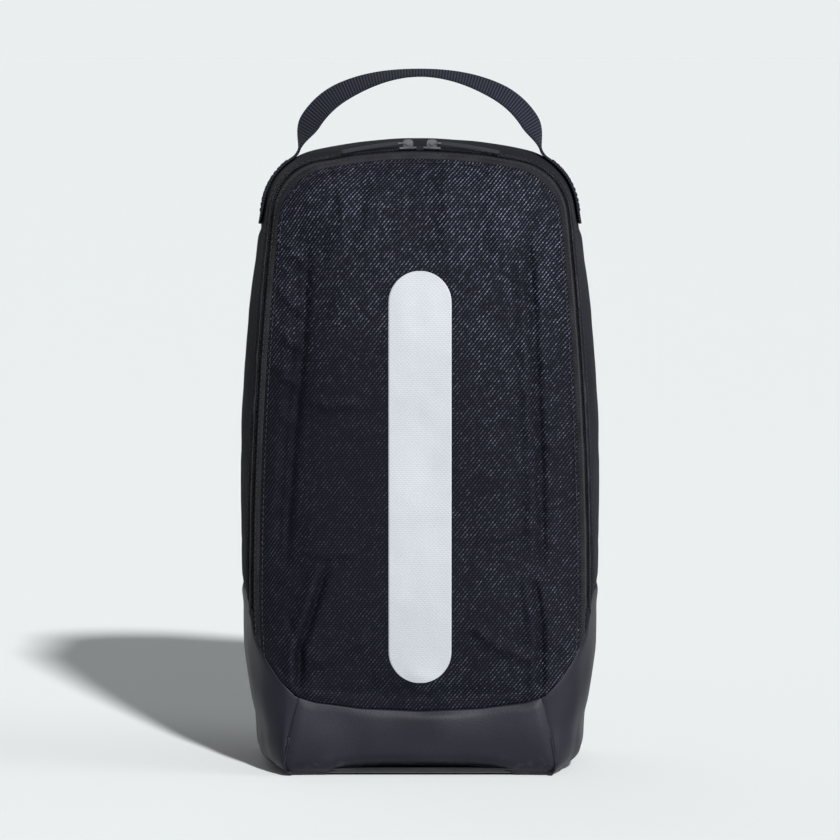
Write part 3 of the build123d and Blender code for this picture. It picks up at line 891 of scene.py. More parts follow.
@dataclass
class Maker:
    """Turns grids and sweeps into pieces of the bag."""

    wardrobe: Wardrobe

    def piece(self, name: str, points: Array, faces: list, cloth: Array, slot: Slot,
              thickness: float = 0.0, smooth_levels: int = 0,
              material: bpy.types.Material | None = None) -> bpy.types.Object:
        """Makes one mesh piece.

        Args:
            name: The piece's name.
            points: Vertices in millimetres.
            faces: Vertex indices of each face.
            cloth: Place of each vertex on the flat cloth, in millimetres.
            slot: The material slot that the piece takes its finish from.
            thickness: Thickness added inwards, in millimetres.
            smooth_levels: Subdivision levels.
            material: A finish other than the slot's own.

        Returns:
            The new object, not yet riding on a body.
        """
        mesh = bpy.data.meshes.new(name)
        mesh.from_pydata((points.reshape(-1, 3) * MM).tolist(), [], faces)
        attribute = mesh.attributes.new("cloth", "FLOAT_VECTOR", "POINT")
        attribute.data.foreach_set("vector", np.ascontiguousarray(cloth, np.float32).ravel())
        mesh.materials.append(material or self.wardrobe.made[slot])
        obj = bpy.data.objects.new(name, mesh)
        bpy.context.scene.collection.objects.link(obj)
        made = bmesh.new()
        made.from_mesh(mesh)
        bmesh.ops.remove_doubles(made, verts=made.verts, dist=0.02 * MM)
        made.to_mesh(mesh)
        made.free()
        mesh.polygons.foreach_set("use_smooth", [True] * len(mesh.polygons))
        if smooth_levels:
            rounder = obj.modifiers.new("rounding", "SUBSURF")
            rounder.levels = rounder.render_levels = smooth_levels
        if thickness:
            shell = obj.modifiers.new("thickness", "SOLIDIFY")
            shell.thickness = thickness * MM
            shell.offset = -1.0
        LOG.info("made %s: %d vertices", name, len(mesh.vertices))
        return obj

    @staticmethod
    def settle(obj: bpy.types.Object, held: Array, pressure: float, growth: float,
               cap: float) -> None:
        """Lets a cloth settle under light pressure between its seams.

        Args:
            obj: The cloth.
            held: How firmly each vertex is held, from 0 to 1.
            pressure: How hard the padding pushes outwards.
            growth: How much larger the cloth is than its place, as a share.
            cap: The furthest a vertex may move, in millimetres.
        """
        mesh = obj.data
        group = obj.vertex_groups.new(name="held")
        for index in np.flatnonzero(held > 0):
            group.add([int(index)], float(held[index]), "REPLACE")
        cloth = obj.modifiers.new("settling", "CLOTH")
        obj.modifiers.move(len(obj.modifiers) - 1, 0)
        others = list(obj.modifiers)[1:]
        for other in others:
            other.show_viewport = False
        cloth.settings.quality = 5
        cloth.settings.mass = 0.25
        cloth.settings.tension_stiffness = cloth.settings.compression_stiffness = 12.0
        cloth.settings.shear_stiffness = 4.0
        cloth.settings.bending_stiffness = 0.6
        cloth.settings.vertex_group_mass = group.name
        cloth.settings.use_pressure = True
        cloth.settings.uniform_pressure_force = pressure
        cloth.settings.shrink_min = -growth
        cloth.settings.effector_weights.gravity = 0.0
        cloth.collision_settings.use_collision = False
        scene = bpy.context.scene
        for frame in range(1, SETTLE_FRAMES + 1):
            scene.frame_set(frame)
        start = np.empty(len(mesh.vertices) * 3, np.float32)
        moved = start.copy()
        mesh.vertices.foreach_get("co", start)
        settled = obj.evaluated_get(bpy.context.evaluated_depsgraph_get())
        settled.data.vertices.foreach_get("co", moved)
        shift = (moved - start).reshape(-1, 3)
        length = np.linalg.norm(shift, axis=1, keepdims=True)
        limit = cap * MM
        shift *= limit * np.tanh(length / limit) / np.maximum(length, 1e-9)
        mesh.vertices.foreach_set("co", start + shift.ravel())
        obj.modifiers.remove(cloth)
        obj.vertex_groups.remove(group)
        for other in others:
            other.show_viewport = True
        scene.frame_set(1)
        mesh.update()
        LOG.info("settled %s: up to %.1f mm", obj.name, float(length.max()) / MM)

    def sheet(self, name: str, grid: Array, slot: Slot, thickness: float = 1.2,
              cloth: Array | None = None, smooth_levels: int = 1) -> bpy.types.Object:
        """Makes a cloth piece from a grid of points, facing away from the bag's middle.

        Args:
            name: The piece's name.
            grid: Points as (row, column, 3).
            slot: The material slot.
            thickness: Thickness added inwards.
            cloth: Place of each point on the flat cloth, or None to measure it on the grid.
            smooth_levels: Subdivision levels.

        Returns:
            The new object.
        """
        faces = grid_faces(*grid.shape[:2])
        turn = np.cross(np.gradient(grid, axis=1), np.gradient(grid, axis=0))
        if (turn * (grid - BAG_MIDDLE)).sum() < 0:
            faces = [face[::-1] for face in faces]
        if cloth is None:
            along = np.pad(np.linalg.norm(np.diff(grid, axis=0), axis=2), ((1, 0), (0, 0)))
            across = np.pad(np.linalg.norm(np.diff(grid, axis=1), axis=2), ((0, 0), (1, 0)))
            cloth = np.stack([across.cumsum(1), along.cumsum(0), 0 * across.cumsum(1)], 2)
        return self.piece(name, grid, faces, cloth.reshape(-1, 3), slot, thickness,
                          smooth_levels)

    def sweep(self, name: str, line: Array, frames: Array, profile: Array, slot: Slot,
              smooth_levels: int = 0) -> bpy.types.Object:
        """Makes a solid band by carrying a closed profile along a line.

        Args:
            name: The piece's name.
            line: Centre points.
            frames: For each point, the across and the outward unit vectors.
            profile: Closed outline as (across, outward) offsets.
            slot: The material slot.
            smooth_levels: Subdivision levels.

        Returns:
            The new object.
        """
        across, outward = frames[:, 0], frames[:, 1]
        ring = line[:, None] + profile[None, :, :1] * across[:, None] \
            + profile[None, :, 1:] * outward[:, None]
        count, sides = ring.shape[:2]
        cloth = np.zeros((count, sides, 3))
        cloth[..., 0] = lengths_along(line)[:, None]
        cloth[..., 1] = profile[None, :, 0]
        return self.piece(name, ring, tube_faces(0, count, sides), cloth.reshape(-1, 3), slot, 0.0,
                          smooth_levels)

    def stitches(self, name: str, line: Array, outward: Array, slot: Slot, length: float = 3.0,
                 gap: float = 0.9, radius: float = 0.28) -> bpy.types.Object:
        """Makes a row of lockstitches that sink into the cloth at their ends.

        Args:
            name: The piece's name.
            line: Points along the seam.
            outward: Unit vectors away from the cloth at those points.
            slot: The material slot whose piece the thread belongs to.
            length: Length of one stitch.
            gap: Space between two stitches.
            radius: Half the thread's thickness.

        Returns:
            The new object.
        """
        steps = lengths_along(line)
        count = max(int(steps[-1] / (length + gap)), 1)
        sides, rings = 6, (0.0, 0.12, 0.5, 0.88, 1.0)
        points, faces = [], []
        for k in range(count):
            start = k * (length + gap) + gap / 2
            base = len(points)
            for share in rings:
                place = start + share * length
                ahead, before = at(place + 0.5, steps, line), at(place - 0.5, steps, line)
                up = at(place, steps, outward)
                run = (ahead - before) / max(np.linalg.norm(ahead - before), 1e-9)
                side = np.cross(run, up)
                arch = 1 - (2 * share - 1) ** 4
                thick = radius * (0.55 + 0.45 * arch)
                middle = at(place, steps, line) + up * radius * (1.3 * arch - 0.7)
                for s in range(sides):
                    angle = math.tau * s / sides
                    points.append(middle + thick * (math.cos(angle) * side + math.sin(angle) * up))
            faces += tube_faces(base, len(rings), sides)
        made = np.array(points)
        return self.piece(name, made, faces, made * 1.0, slot, material=self.wardrobe.thread)


def grid_faces(rows: int, columns: int, start: int = 0) -> list[list[int]]:
    """Quads over a grid of vertices."""
    return [[start + i * columns + j, start + i * columns + j + 1,
             start + (i + 1) * columns + j + 1, start + (i + 1) * columns + j]
            for i in range(rows - 1) for j in range(columns - 1)]


def tube_faces(start: int, rings: int, sides: int, turned: bool = False) -> list[list[int]]:
    """Quads round a run of rings of vertices, and a face over each end.

    Args:
        start: Index of the first vertex.
        rings: How many rings there are.
        sides: Vertices in each ring.
        turned: Whether the end faces look along the run at its start and back at its end.

    Returns:
        The faces.
    """
    around = [[start + i * sides + j, start + i * sides + (j + 1) % sides,
               start + (i + 1) * sides + (j + 1) % sides, start + (i + 1) * sides + j]
              for i in range(rings - 1) for j in range(sides)]
    low = list(range(start, start + sides))
    high = [(rings - 1) * sides + j for j in low]
    return around + ([low, high[::-1]] if turned else [low[::-1], high])


def mirrored(half: Array) -> Array:
    """A whole outline, from the left end over the top to the right end, from its right half."""
    left = half[::-1] * [-1.0, 1.0, 1.0]
    return np.concatenate([left[:-1], half])


def cut_at(half: Array, height: Floor) -> Array:
    """The part of a half outline above a height.

    Args:
        half: The outline, from its top down.
        height: The height, which may depend on x.

    Returns:
        The upper part, with a new last point on the cut.
    """
    limit = height(half[:, 0]) if callable(height) else np.full(len(half), height)
    above = half[:, 2] - limit
    last = int(np.argmax(above < 0)) if (above < 0).any() else len(half)
    if last == len(half):
        return half
    share = above[last - 1] / (above[last - 1] - above[last])
    end = half[last - 1] + share * (half[last] - half[last - 1])
    return np.concatenate([half[:last], end[None]])


def under_cut(half: Array, height: Floor) -> Array:
    """The part of a half outline below a height, from that height down."""
    top = cut_at(half, height)
    return np.concatenate([top[-1:], half[len(top) - 1:]])


def ride_all(objects: Sequence[bpy.types.Object], body: Body) -> None:
    """Makes each piece ride on a body."""
    for obj in objects:
        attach(obj, body.value)


# ---------------------------------------------------------------- front


@dataclass
class Front:
    """The padded front: centre and facets, edge strip, film band and lining."""

    maker: Maker
    form: Form
    boot: BootLine
    seam_y: float = -53.0
    strip_edge_y: float = -48.0
    flat_y: float = -65.0
    crown: float = 5.5
    crown_half: float = 74.0
    lining_inset: float = 6.0
    lining_share: float = 0.5
    fold_low: float = 84.0
    fold_high: float = 120.0
    side_steps: int = 112
    top_steps: int = 116
    ring_steps: int = 20
    pressure: float = 4.0
    growth: float = 0.012
    slack: float = 3.5
    band_half: float = 18.5
    band_low: float = 56.0
    band_high: float = 299.0
    creases: tuple[Crease, ...] = (
        Crease(((-63, 334), (-66, 310), (-68, 263), (-71, 227), (-74, 198), (-76, 170),
                (-79, 120)), -4.6, 2.3, -3.0),
        Crease(((62, 334), (66, 280), (69, 221), (71, 180), (72, 112)), -4.4, 2.6, 2.8),
        Crease(((-54, 128), (-62, 102), (-71, 74), (-72, 44)), -4.4, 2.3, 2.6),
        Crease(((-79, 100), (-72, 78), (-68, 56)), -2.2, 2.8),
        Crease(((66, 124), (71, 92), (72, 46)), -4.4, 2.3, 2.6),
        Crease(((-93, 322), (-80, 312), (-66, 303)), 4.2, 2.9),
        Crease(((-94, 294), (-80, 283), (-67, 272)), 4.4, 2.9),
        Crease(((-95, 270), (-82, 261), (-68, 252)), 4.0, 2.8),
        Crease(((-95, 248), (-82, 239), (-69, 229)), 3.6, 2.8),
        Crease(((-96, 224), (-84, 216), (-71, 208)), 2.6, 2.8),
        Crease(((-96, 190), (-86, 180), (-74, 176)), 1.9, 3.0),
        Crease(((92, 302), (80, 290), (68, 280)), 2.7, 3.0),
        Crease(((95, 256), (82, 247), (70, 240)), 2.4, 3.0),
        Crease(((95, 206), (84, 198), (72, 194)), 1.9, 3.0),
        Crease(((-68, 224), (-54, 220), (-34, 222)), 2.7, 2.4),
        Crease(((-74, 136), (-58, 132), (-36, 134)), 2.9, 2.4),
        Crease(((70, 152), (52, 144), (32, 142)), 2.0, 2.8),
        Crease(((-26, 358), (-28, 336), (-34, 308)), 2.2, 4.0),
        Crease(((-46, 350), (-44, 332), (-48, 312)), 2.0, 3.8),
        Crease(((12, 360), (16, 336), (14, 306)), 2.4, 4.6),
        Crease(((44, 352), (42, 330), (48, 304)), 2.2, 4.0),
        Crease(((28, 92), (48, 77), (68, 70)), 2.6, 3.2),
        Crease(((-28, 86), (-48, 73), (-66, 66)), 2.6, 3.2),
        Crease(((-10, 62), (16, 56), (44, 58)), 0.7, 4.0),
    )

    def loft(self) -> tuple[Array, Array]:
        """The rings round the front and the flat middle, before the cloth's own folds."""
        places = np.linspace(self.form.place_of(self.seam_y), self.form.place[-1],
                             self.ring_steps)
        return self.form.cap(places, self.boot.height, self.side_steps, self.top_steps)

    def lift(self, points: Array) -> Array:
        """How far the front stands forward of the plain loft.

        Args:
            points: Points on the loft.

        Returns:
            One lift for each point.
        """
        x, z = points[..., 0], points[..., 2]
        bow = np.clip(1 - (np.abs(x) / self.crown_half) ** 3.0, 0, 1)
        tall = smooth(z, 42, 110) * smooth(z, 352, 250)
        out = self.crown * bow * tall
        out = out + wander(points * [1, 1, 0.6], 34.0, 0.9, 3.0)
        out = out + wander(points, 11.0, 0.22, 9.0)
        seam = np.clip((z - self.boot.height(x)) / 4.0, 0, 1)
        return out * (0.15 + 0.85 * seam) - 0.9 * (1 - seam)

    def fold(self, obj: bpy.types.Object) -> None:
        """Presses the tucks, puckers and drag lines into the settled cloth.

        Args:
            obj: The settled front, whose mesh is changed.
        """
        co = np.empty(len(obj.data.vertices) * 3)
        obj.data.vertices.foreach_get("co", co)
        points = co.reshape(-1, 3) / MM
        x, z = points[:, 0], points[:, 2]
        out = sum(crease.lift(x, z) for crease in self.creases)
        rim = smooth(points[:, 1], -54.5, -60.0) * smooth(z - self.boot.height(x), 1.0, 8.0)
        points[:, 1] -= out * rim
        obj.data.vertices.foreach_set("co", (points * MM).ravel())
        obj.data.update()

    def shaped(self, points: Array, depth: float = 0.0, share: float = 1.0) -> Array:
        """Points with the cloth's folds.

        Args:
            points: Points on the plain loft.
            depth: How far they move into the bag, in millimetres.
            share: How much of the folds they take.

        Returns:
            The moved points.
        """
        rim = np.clip((np.abs(points[..., 1]) - 53.0) / 5.0, 0, 1)
        moved = points.copy()
        moved[..., 1] += depth * (1 + 0.7 * rim) - self.lift(points) * rim * share
        return moved

    def mesh(self, depth: float, share: float) -> tuple[Array, list, Array]:
        """The whole front, or with a depth, the layer behind it.

        Args:
            depth: How far it lies inside the front, in millimetres.
            share: How much of the front's folds it takes.

        Returns:
            The vertices, the faces and each vertex's place on the flat cloth.
        """
        rings, middle = self.loft()
        narrow = np.array([0.97, 1.0, 0.99]) if depth else np.ones(3)
        points = np.concatenate([(self.shaped(part, depth, share) * narrow).reshape(-1, 3)
                                 for part in (rings, middle)])
        return points, cap_faces(rings, middle), cap_cloth(rings, middle)

    def panel(self) -> bpy.types.Object:
        """The woven front with its facets, tucks and drag lines."""
        points, faces, cloth = self.mesh(0.0, 1.0)
        obj = self.maker.piece("front_cloth", points, faces, cloth, Slot.FRONT, 1.3, 1)
        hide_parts("front_panel", "front_panel_lower", "front_foam")
        places = np.array([v.co[:] for v in obj.data.vertices]) / MM
        rim = smooth(places[:, 1], -55.5, -53.8)
        hem = smooth(places[:, 2] - self.boot.height(places[:, 0]), 5.0, 2.0)
        self.maker.settle(obj, np.maximum(rim, hem), self.pressure, self.growth, self.slack)
        self.fold(obj)
        return obj

    def lining(self) -> bpy.types.Object:
        """The lining behind the padding, which crosses the fold with the front."""
        points, faces, cloth = self.mesh(self.lining_inset, self.lining_share)
        faces = [f[::-1] for f in faces]
        obj = self.maker.piece("front_lining_cloth", points, faces, cloth, Slot.LINING, 0.8)
        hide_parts("front_lining", "front_lining_lower")
        return obj

    def strip(self) -> bpy.types.Object:
        """The narrow strip between the front's seam and the zip."""
        places = np.linspace(self.form.place_of(self.strip_edge_y + 0.4),
                             self.form.place_of(self.seam_y + 0.1), 7)
        count = self.side_steps + self.top_steps // 2 + 1
        grid = np.array([self.form.edge(place, self.boot.height, count) for place in places])
        bulge = np.sin(np.linspace(0, math.pi, len(places)))[:, None]
        out = normals(grid) * (bulge * 0.9 + wander(grid, 9.0, 0.25, 5.0) * bulge)[..., None]
        obj = self.maker.sheet("front_edge_strip_cloth", grid + out, Slot.FRONT, 1.2)
        obj.data.materials[0] = self.maker.wardrobe.edge
        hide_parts("front_edge_strip")
        return obj

    def band(self, under: bpy.types.Object) -> bpy.types.Object:
        """The film band, laid on the cloth under it.

        Args:
            under: The settled front.

        Returns:
            The new object.
        """
        tip = self.band_half * (1 - np.cos(np.linspace(0.12, math.pi / 2, 14)))
        straight = np.linspace(self.band_low + self.band_half, self.band_high - self.band_half, 104)
        z = np.concatenate([self.band_low + tip, straight[1:-1], self.band_high - tip[::-1]])
        cap = np.minimum(z - self.band_low, self.band_high - z)
        inner = np.clip(self.band_half - cap, 0, self.band_half)
        half = np.sqrt(self.band_half**2 - inner**2)
        x = np.linspace(-1, 1, 19)[None] * half[:, None]
        grid = np.stack([x, np.full_like(x, self.flat_y), np.repeat(z[:, None], 19, 1)], 2)
        skin = BVHTree.FromPolygons([v.co for v in under.data.vertices],
                                    [p.vertices for p in under.data.polygons])
        for point in grid.reshape(-1, 3):
            start = Vector((point[0] * MM, -0.2, point[2] * MM))
            point[1] = skin.ray_cast(start, Vector((0, 1, 0)))[0].y / MM - 0.45
        cloth = grid[..., [0, 2, 1]] * [1, 1, 0]
        obj = self.maker.sheet("front_film_band", grid, Slot.FILM, 0.35, cloth)
        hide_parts("front_band", "front_band_lower")
        return obj

    def build(self) -> None:
        """Builds the front."""
        stitched = []
        for name, y, shift in (("front_seam_stitches", self.seam_y - 2.0, 0.25),
                               ("zip_edge_stitches", self.strip_edge_y - 1.4, 0.75)):
            line, out = self.form.seam(y, self.boot.height)
            stitched.append(self.maker.stitches(name, line + out * shift, out, Slot.FRONT, 2.6))
        panel = self.panel()
        pieces = [panel, self.lining(), self.strip(), self.band(panel), *stitched]
        for obj in pieces:
            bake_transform(obj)


# ---------------------------------------------------------------- gusset and back


@dataclass
class Shell:
    """The gusset round the sides and top, the back panel, and what lines them."""

    maker: Maker
    form: Form
    boot: BootLine
    edge_y: float = -36.0
    rear_y: float = 54.0
    back_y: float = 65.4
    join_z: float = 322.0
    lining_low: float = 5.2
    lining_inset: float = 2.2
    back_lining_inset: float = 6.5

    def band(self, start_y: float, end_y: float, rows: int, half_of: Callable[[float], Array],
             count: int) -> Array:
        """A grid over the skin between two depths.

        Args:
            start_y: Where its last row lies.
            end_y: Where its first row lies.
            rows: How many rows it has.
            half_of: Gives the line that a row follows, from its place along the path.
            count: Points in each row.

        Returns:
            The grid as (row, point, 3).
        """
        places = np.linspace(self.form.place_of(end_y), self.form.place_of(start_y), rows)
        return np.array([spread(half_of(p), count) for p in places])

    def drape(self, grid: Array, pinch: float, sway: float, seed: float) -> Array:
        """Lays soft wrinkles over a grid, and draws its edges in as seams do.

        Args:
            grid: The points.
            pinch: How far the seams draw the edges in.
            sway: How tall the wrinkles are.
            seed: Sets the wrinkles apart from other pieces'.

        Returns:
            The moved grid.
        """
        column, row = edge_distance(grid)
        rim = np.clip(np.minimum(column, row) / 5.0, 0, 1)
        rim = rim * rim * (3 - 2 * rim)
        out = wander(grid * [1, 1, 0.45], 38.0, sway, seed) + wander(grid, 14.0, sway * 0.25, seed)
        return grid + normals(grid) * (out * rim - pinch * (1 - rim))[..., None]

    def side(self, sign: int) -> bpy.types.Object:
        """One side gusset, from the boot up to the join near the shoulder.

        Args:
            sign: 1 for the right side, -1 for the left one.

        Returns:
            The new object.
        """
        def part(place: float) -> Array:
            """The side's line at a place along the path."""
            half = cut_at(self.form.half_outline(place), self.boot.height)
            start = int(np.argmax(half[:, 2] < self.join_z))
            return half[start:]

        grid = self.band(self.edge_y, self.rear_y, 40, part, 110)
        grid = self.drape(grid, 0.5, 1.7, 21.0)
        grid = grid[:, ::-1] if sign < 0 else grid
        grid = grid * [sign, 1.0, 1.0]
        name = "right" if sign > 0 else "left"
        obj = self.maker.sheet(f"gusset_{name}_cloth", grid, Slot.GUSSET)
        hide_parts(f"gusset_{name}")
        return obj

    def top(self) -> bpy.types.Object:
        """The top gusset, over both shoulders."""
        def part(place: float) -> Array:
            """The top's line at a place along the path."""
            half = self.form.half_outline(place)
            return mirrored(half[:int(np.argmax(half[:, 2] < self.join_z)) + 1])

        grid = self.band(self.edge_y, self.rear_y, 40, part, 170)
        obj = self.maker.sheet("gusset_top_cloth", self.drape(grid, 0.5, 0.6, 33.0), Slot.GUSSET)
        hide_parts("gusset_top")
        return obj

    def back(self, depth: float = 0.0) -> bpy.types.Object:
        """The padded back panel, or with a depth, the lining inside it.

        Args:
            depth: How far the lining lies inside the panel, or 0 for the panel.

        Returns:
            The new object.
        """
        places = np.linspace(self.form.place_of(self.rear_y), 0.0, 12)
        floor = self.lining_low if depth else self.boot.height
        rings, middle = self.form.cap(places, floor, 96, 56)
        narrow = np.array([0.965, 1.0, 0.985]) if depth else np.ones(3)
        parts = []
        for part in (rings, middle):
            rim = smooth(part[..., 1], self.rear_y, self.back_y)
            seam = smooth(part[..., 2] - self.boot.height(part[..., 0]), 0.0, 9.0)
            soft = wander(part * [1, 1, 0.7], 40.0, 1.6, 41.0) + wander(part, 13.0, 0.4, 43.0)
            moved = part * narrow
            moved[..., 1] += (soft + 1.6) * rim * seam - depth
            parts.append(moved.reshape(-1, 3))
        faces = cap_faces(rings, middle)
        if not depth:
            faces = [face[::-1] for face in faces]
        points = np.concatenate(parts)
        cloth = cap_cloth(rings, middle)
        if depth:
            obj = self.maker.piece("back_lining_cloth", points, faces, cloth, Slot.LINING, 0.7)
            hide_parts("back_lining")
            return obj
        obj = self.maker.piece("back_cloth", points, faces, cloth, Slot.GUSSET, 1.3, 1)
        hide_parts("back_panel", "back_foam")
        return obj

    def linings(self) -> list[bpy.types.Object]:
        """The linings of the gusset and of the back."""
        def part(place: float) -> Array:
            """The lining's line at a place along the path."""
            return mirrored(cut_at(self.form.half_outline(place), self.lining_low))

        grid = self.band(self.edge_y + 0.5, self.rear_y, 30, part, 260)
        inner = grid - normals(grid) * self.lining_inset
        inner = inner + normals(grid) * wander(grid * [1, 1, 0.5], 30.0, 0.5, 51.0)[..., None]
        gusset = self.maker.sheet("gusset_lining_cloth", inner[:, ::-1], Slot.LINING, 0.7)
        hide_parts("gusset_lining")
        return [gusset, self.back(self.back_lining_inset)]

    def stitched(self) -> list[bpy.types.Object]:
        """Topstitching beside the rear seam and beside the zip."""
        rows = []
        for name, y in (("rear_seam_stitches", self.rear_y - 2.1),
                        ("gusset_edge_stitches", self.edge_y + 2.3)):
            line, out = self.form.seam(y, self.boot.height)
            rows.append(self.maker.stitches(name, line + out * 0.05, out, Slot.GUSSET, 2.8))
        return rows

    def build(self) -> None:
        """Builds the shell on the bag's body."""
        pieces = [self.side(1), self.side(-1), self.top(), self.back(), *self.linings()]
        ride_all([*pieces, *self.stitched()], Body.BAG)


# ---------------------------------------------------------------- boot


@dataclass
class Boot:
    """The coated boot: front, back and two wrap-round sides, over a bottom panel."""

    maker: Maker
    form: Form
    line: BootLine
    seam_top: float = 72.0
    seam_foot: float = 82.5
    seam_top_z: float = 46.5
    front_y: float = -65.0
    back_y: float = 65.5
    arch_rise: float = 5.0
    arch_half: float = 56.0
    ground_gap: float = 1.0
    turn_up: float = 9.0
    turn_in: float = 6.5
    flat_core: tuple[float, float] = (60.0, 40.0)
    flat_columns: int = 4
    sole_run: float = 46.0

    def seam_x(self, z: Array) -> Array:
        """Where the corner seam is at height z."""
        return self.seam_foot - (self.seam_foot - self.seam_top) * z / self.seam_top_z

    def arch(self, x: Array) -> Array:
        """How far the front's foot stands off the ground at x."""
        return self.arch_rise * np.clip(1 - (np.abs(x) / self.arch_half) ** 4, 0, 1)

    def tuck_under(self, grid: Array, height: Array) -> None:
        """Rolls the foot of the boot inwards, where it is sewn to the bottom panel.

        Args:
            grid: The points, which are moved in place.
            height: How far each point is above the foot.
        """
        core = np.array(self.flat_core)
        way = grid[..., :2] - np.clip(grid[..., :2], -core, core)
        way /= np.maximum(np.linalg.norm(way, axis=2, keepdims=True), 20.0)
        share = np.clip(1 - height / self.turn_up, 0, 1) ** 2
        grid[..., :2] -= way * self.turn_in * share[..., None]

    def face(self, sign: int) -> Array:
        """A flat panel between its two corner seams.

        Args:
            sign: -1 for the front panel, 1 for the back one.

        Returns:
            The grid of the panel.
        """
        rows, columns = 22, 70
        across = np.linspace(-1, 1, columns)[None]
        up = np.linspace(0, 1, rows)[:, None]
        x = across * (self.seam_foot - (self.seam_foot - self.seam_top) * up)
        top = self.line.height(x)
        lift = self.arch(x) if sign < 0 else 0 * x
        z = lift * (1 - up) + top * up
        y0 = self.front_y if sign < 0 else self.back_y
        y = y0 + sign * (1.2 * np.sin(up * math.pi) + 0 * x)
        grid = np.stack([x, y, z], 2)
        column, row = edge_distance(grid)
        rim = np.clip(np.minimum(column, row) / 4.0, 0, 1)
        grid[..., 1] += sign * (wander(grid, 26.0, 1.3, 61.0) * rim - 0.9 * (1 - rim) + 0.4)
        self.tuck_under(grid, grid[..., 2] - lift)
        grid[..., 2] += self.ground_gap * np.clip(1 - grid[..., 2] / 12.0, 0, 1)
        return grid if sign < 0 else grid[:, ::-1]

    def wrap(self, sign: int) -> Array:
        """One side, from one corner seam round to the other.

        Args:
            sign: 1 for the right side, -1 for the left one.

        Returns:
            The grid of the side.
        """
        rows, around = 34, 64
        places = np.linspace(0.0, self.form.place[-1], around)

        def flat(place: float, share: float, reach: float, y: float) -> Array:
            """A line up the flat stretch between a corner seam and the wrap's bend."""
            half = self.form.half_outline(place)
            z = np.linspace(0.0, float(self.line.height(self.seam_top + share * reach)), rows)
            edge = np.interp(-z, -half[:, 2], half[:, 0])
            return np.stack([(1 - share) * self.seam_x(z) + share * edge, np.full(rows, y), z], 1)

        shares = np.linspace(0, 1, self.flat_columns + 1)[:-1]
        columns = [flat(places[0], share, 12, self.back_y) for share in shares]
        for place in places:
            low = under_cut(self.form.half_outline(place), self.line.height)
            columns.append(spread(low, rows)[::-1])
        columns += [flat(places[-1], share, 2, self.front_y) for share in shares[::-1]]
        grid = np.array(columns)
        column_gap, row_gap = edge_distance(grid)
        rim = np.clip(np.minimum(column_gap, row_gap) / 4.0, 0, 1)
        rim = rim * rim * (3 - 2 * rim)
        out = wander(grid * [1, 1, 1.4], 30.0, 1.6, 71.0) * rim - 0.7 * (1 - rim) + 0.6
        tuck = np.exp(-((grid[..., 2] - 14.0) / 9.0) ** 2) * 1.2 * rim
        grid = grid + normals(grid) * [1, 1, 0] * (out + tuck)[..., None]
        grid[..., 2] = np.maximum(grid[..., 2], 0.0)
        self.tuck_under(grid, grid[..., 2])
        grid[..., 2] += self.ground_gap * np.clip(1 - grid[..., 2] / 12.0, 0, 1)
        return grid * [sign, 1.0, 1.0] if sign < 0 else grid[:, ::-1]

    def build(self) -> None:
        """Builds the boot on the bag's body."""
        pieces = []
        for name, grid in (("boot_front", self.face(-1)), ("boot_back", self.face(1)),
                           ("boot_right", self.wrap(1)), ("boot_left", self.wrap(-1))):
            obj = self.maker.sheet(f"{name}_cloth", grid, Slot.BOOT, 1.3)
            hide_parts(name)
            pieces.append(obj)
        pieces.append(self.sole())
        ride_all(pieces, Body.BAG)

    def sole(self) -> bpy.types.Object:
        """The bottom panel: flat on the ground, turned up towards the boot all round."""
        y = np.linspace(self.front_y, self.back_y, 64)[:, None]
        base = np.array([self.form.section(self.form.place_of(v))[3] for v in y[:, 0]])
        x = np.linspace(-1, 1, 74)[None] * base[:, None]
        grid = np.stack([x, y + 0 * x, 0 * x], 2)
        self.tuck_under(grid, grid[..., 2] + 0.6)
        column, row = edge_distance(grid)
        front = smooth(grid[..., 1] - grid[0, grid.shape[1] // 2, 1], self.sole_run, 0.0)
        rim = np.clip(1 - np.minimum(column, row) / 5.0, 0, 1)
        grid[..., 2] = 0.15 + 1.2 * rim**2 + self.arch(x) * front
        obj = self.maker.sheet("bottom_panel_cloth", grid, Slot.BOOT, 1.0)
        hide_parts("bottom_panel")
        return obj


# ---------------------------------------------------------------- zip


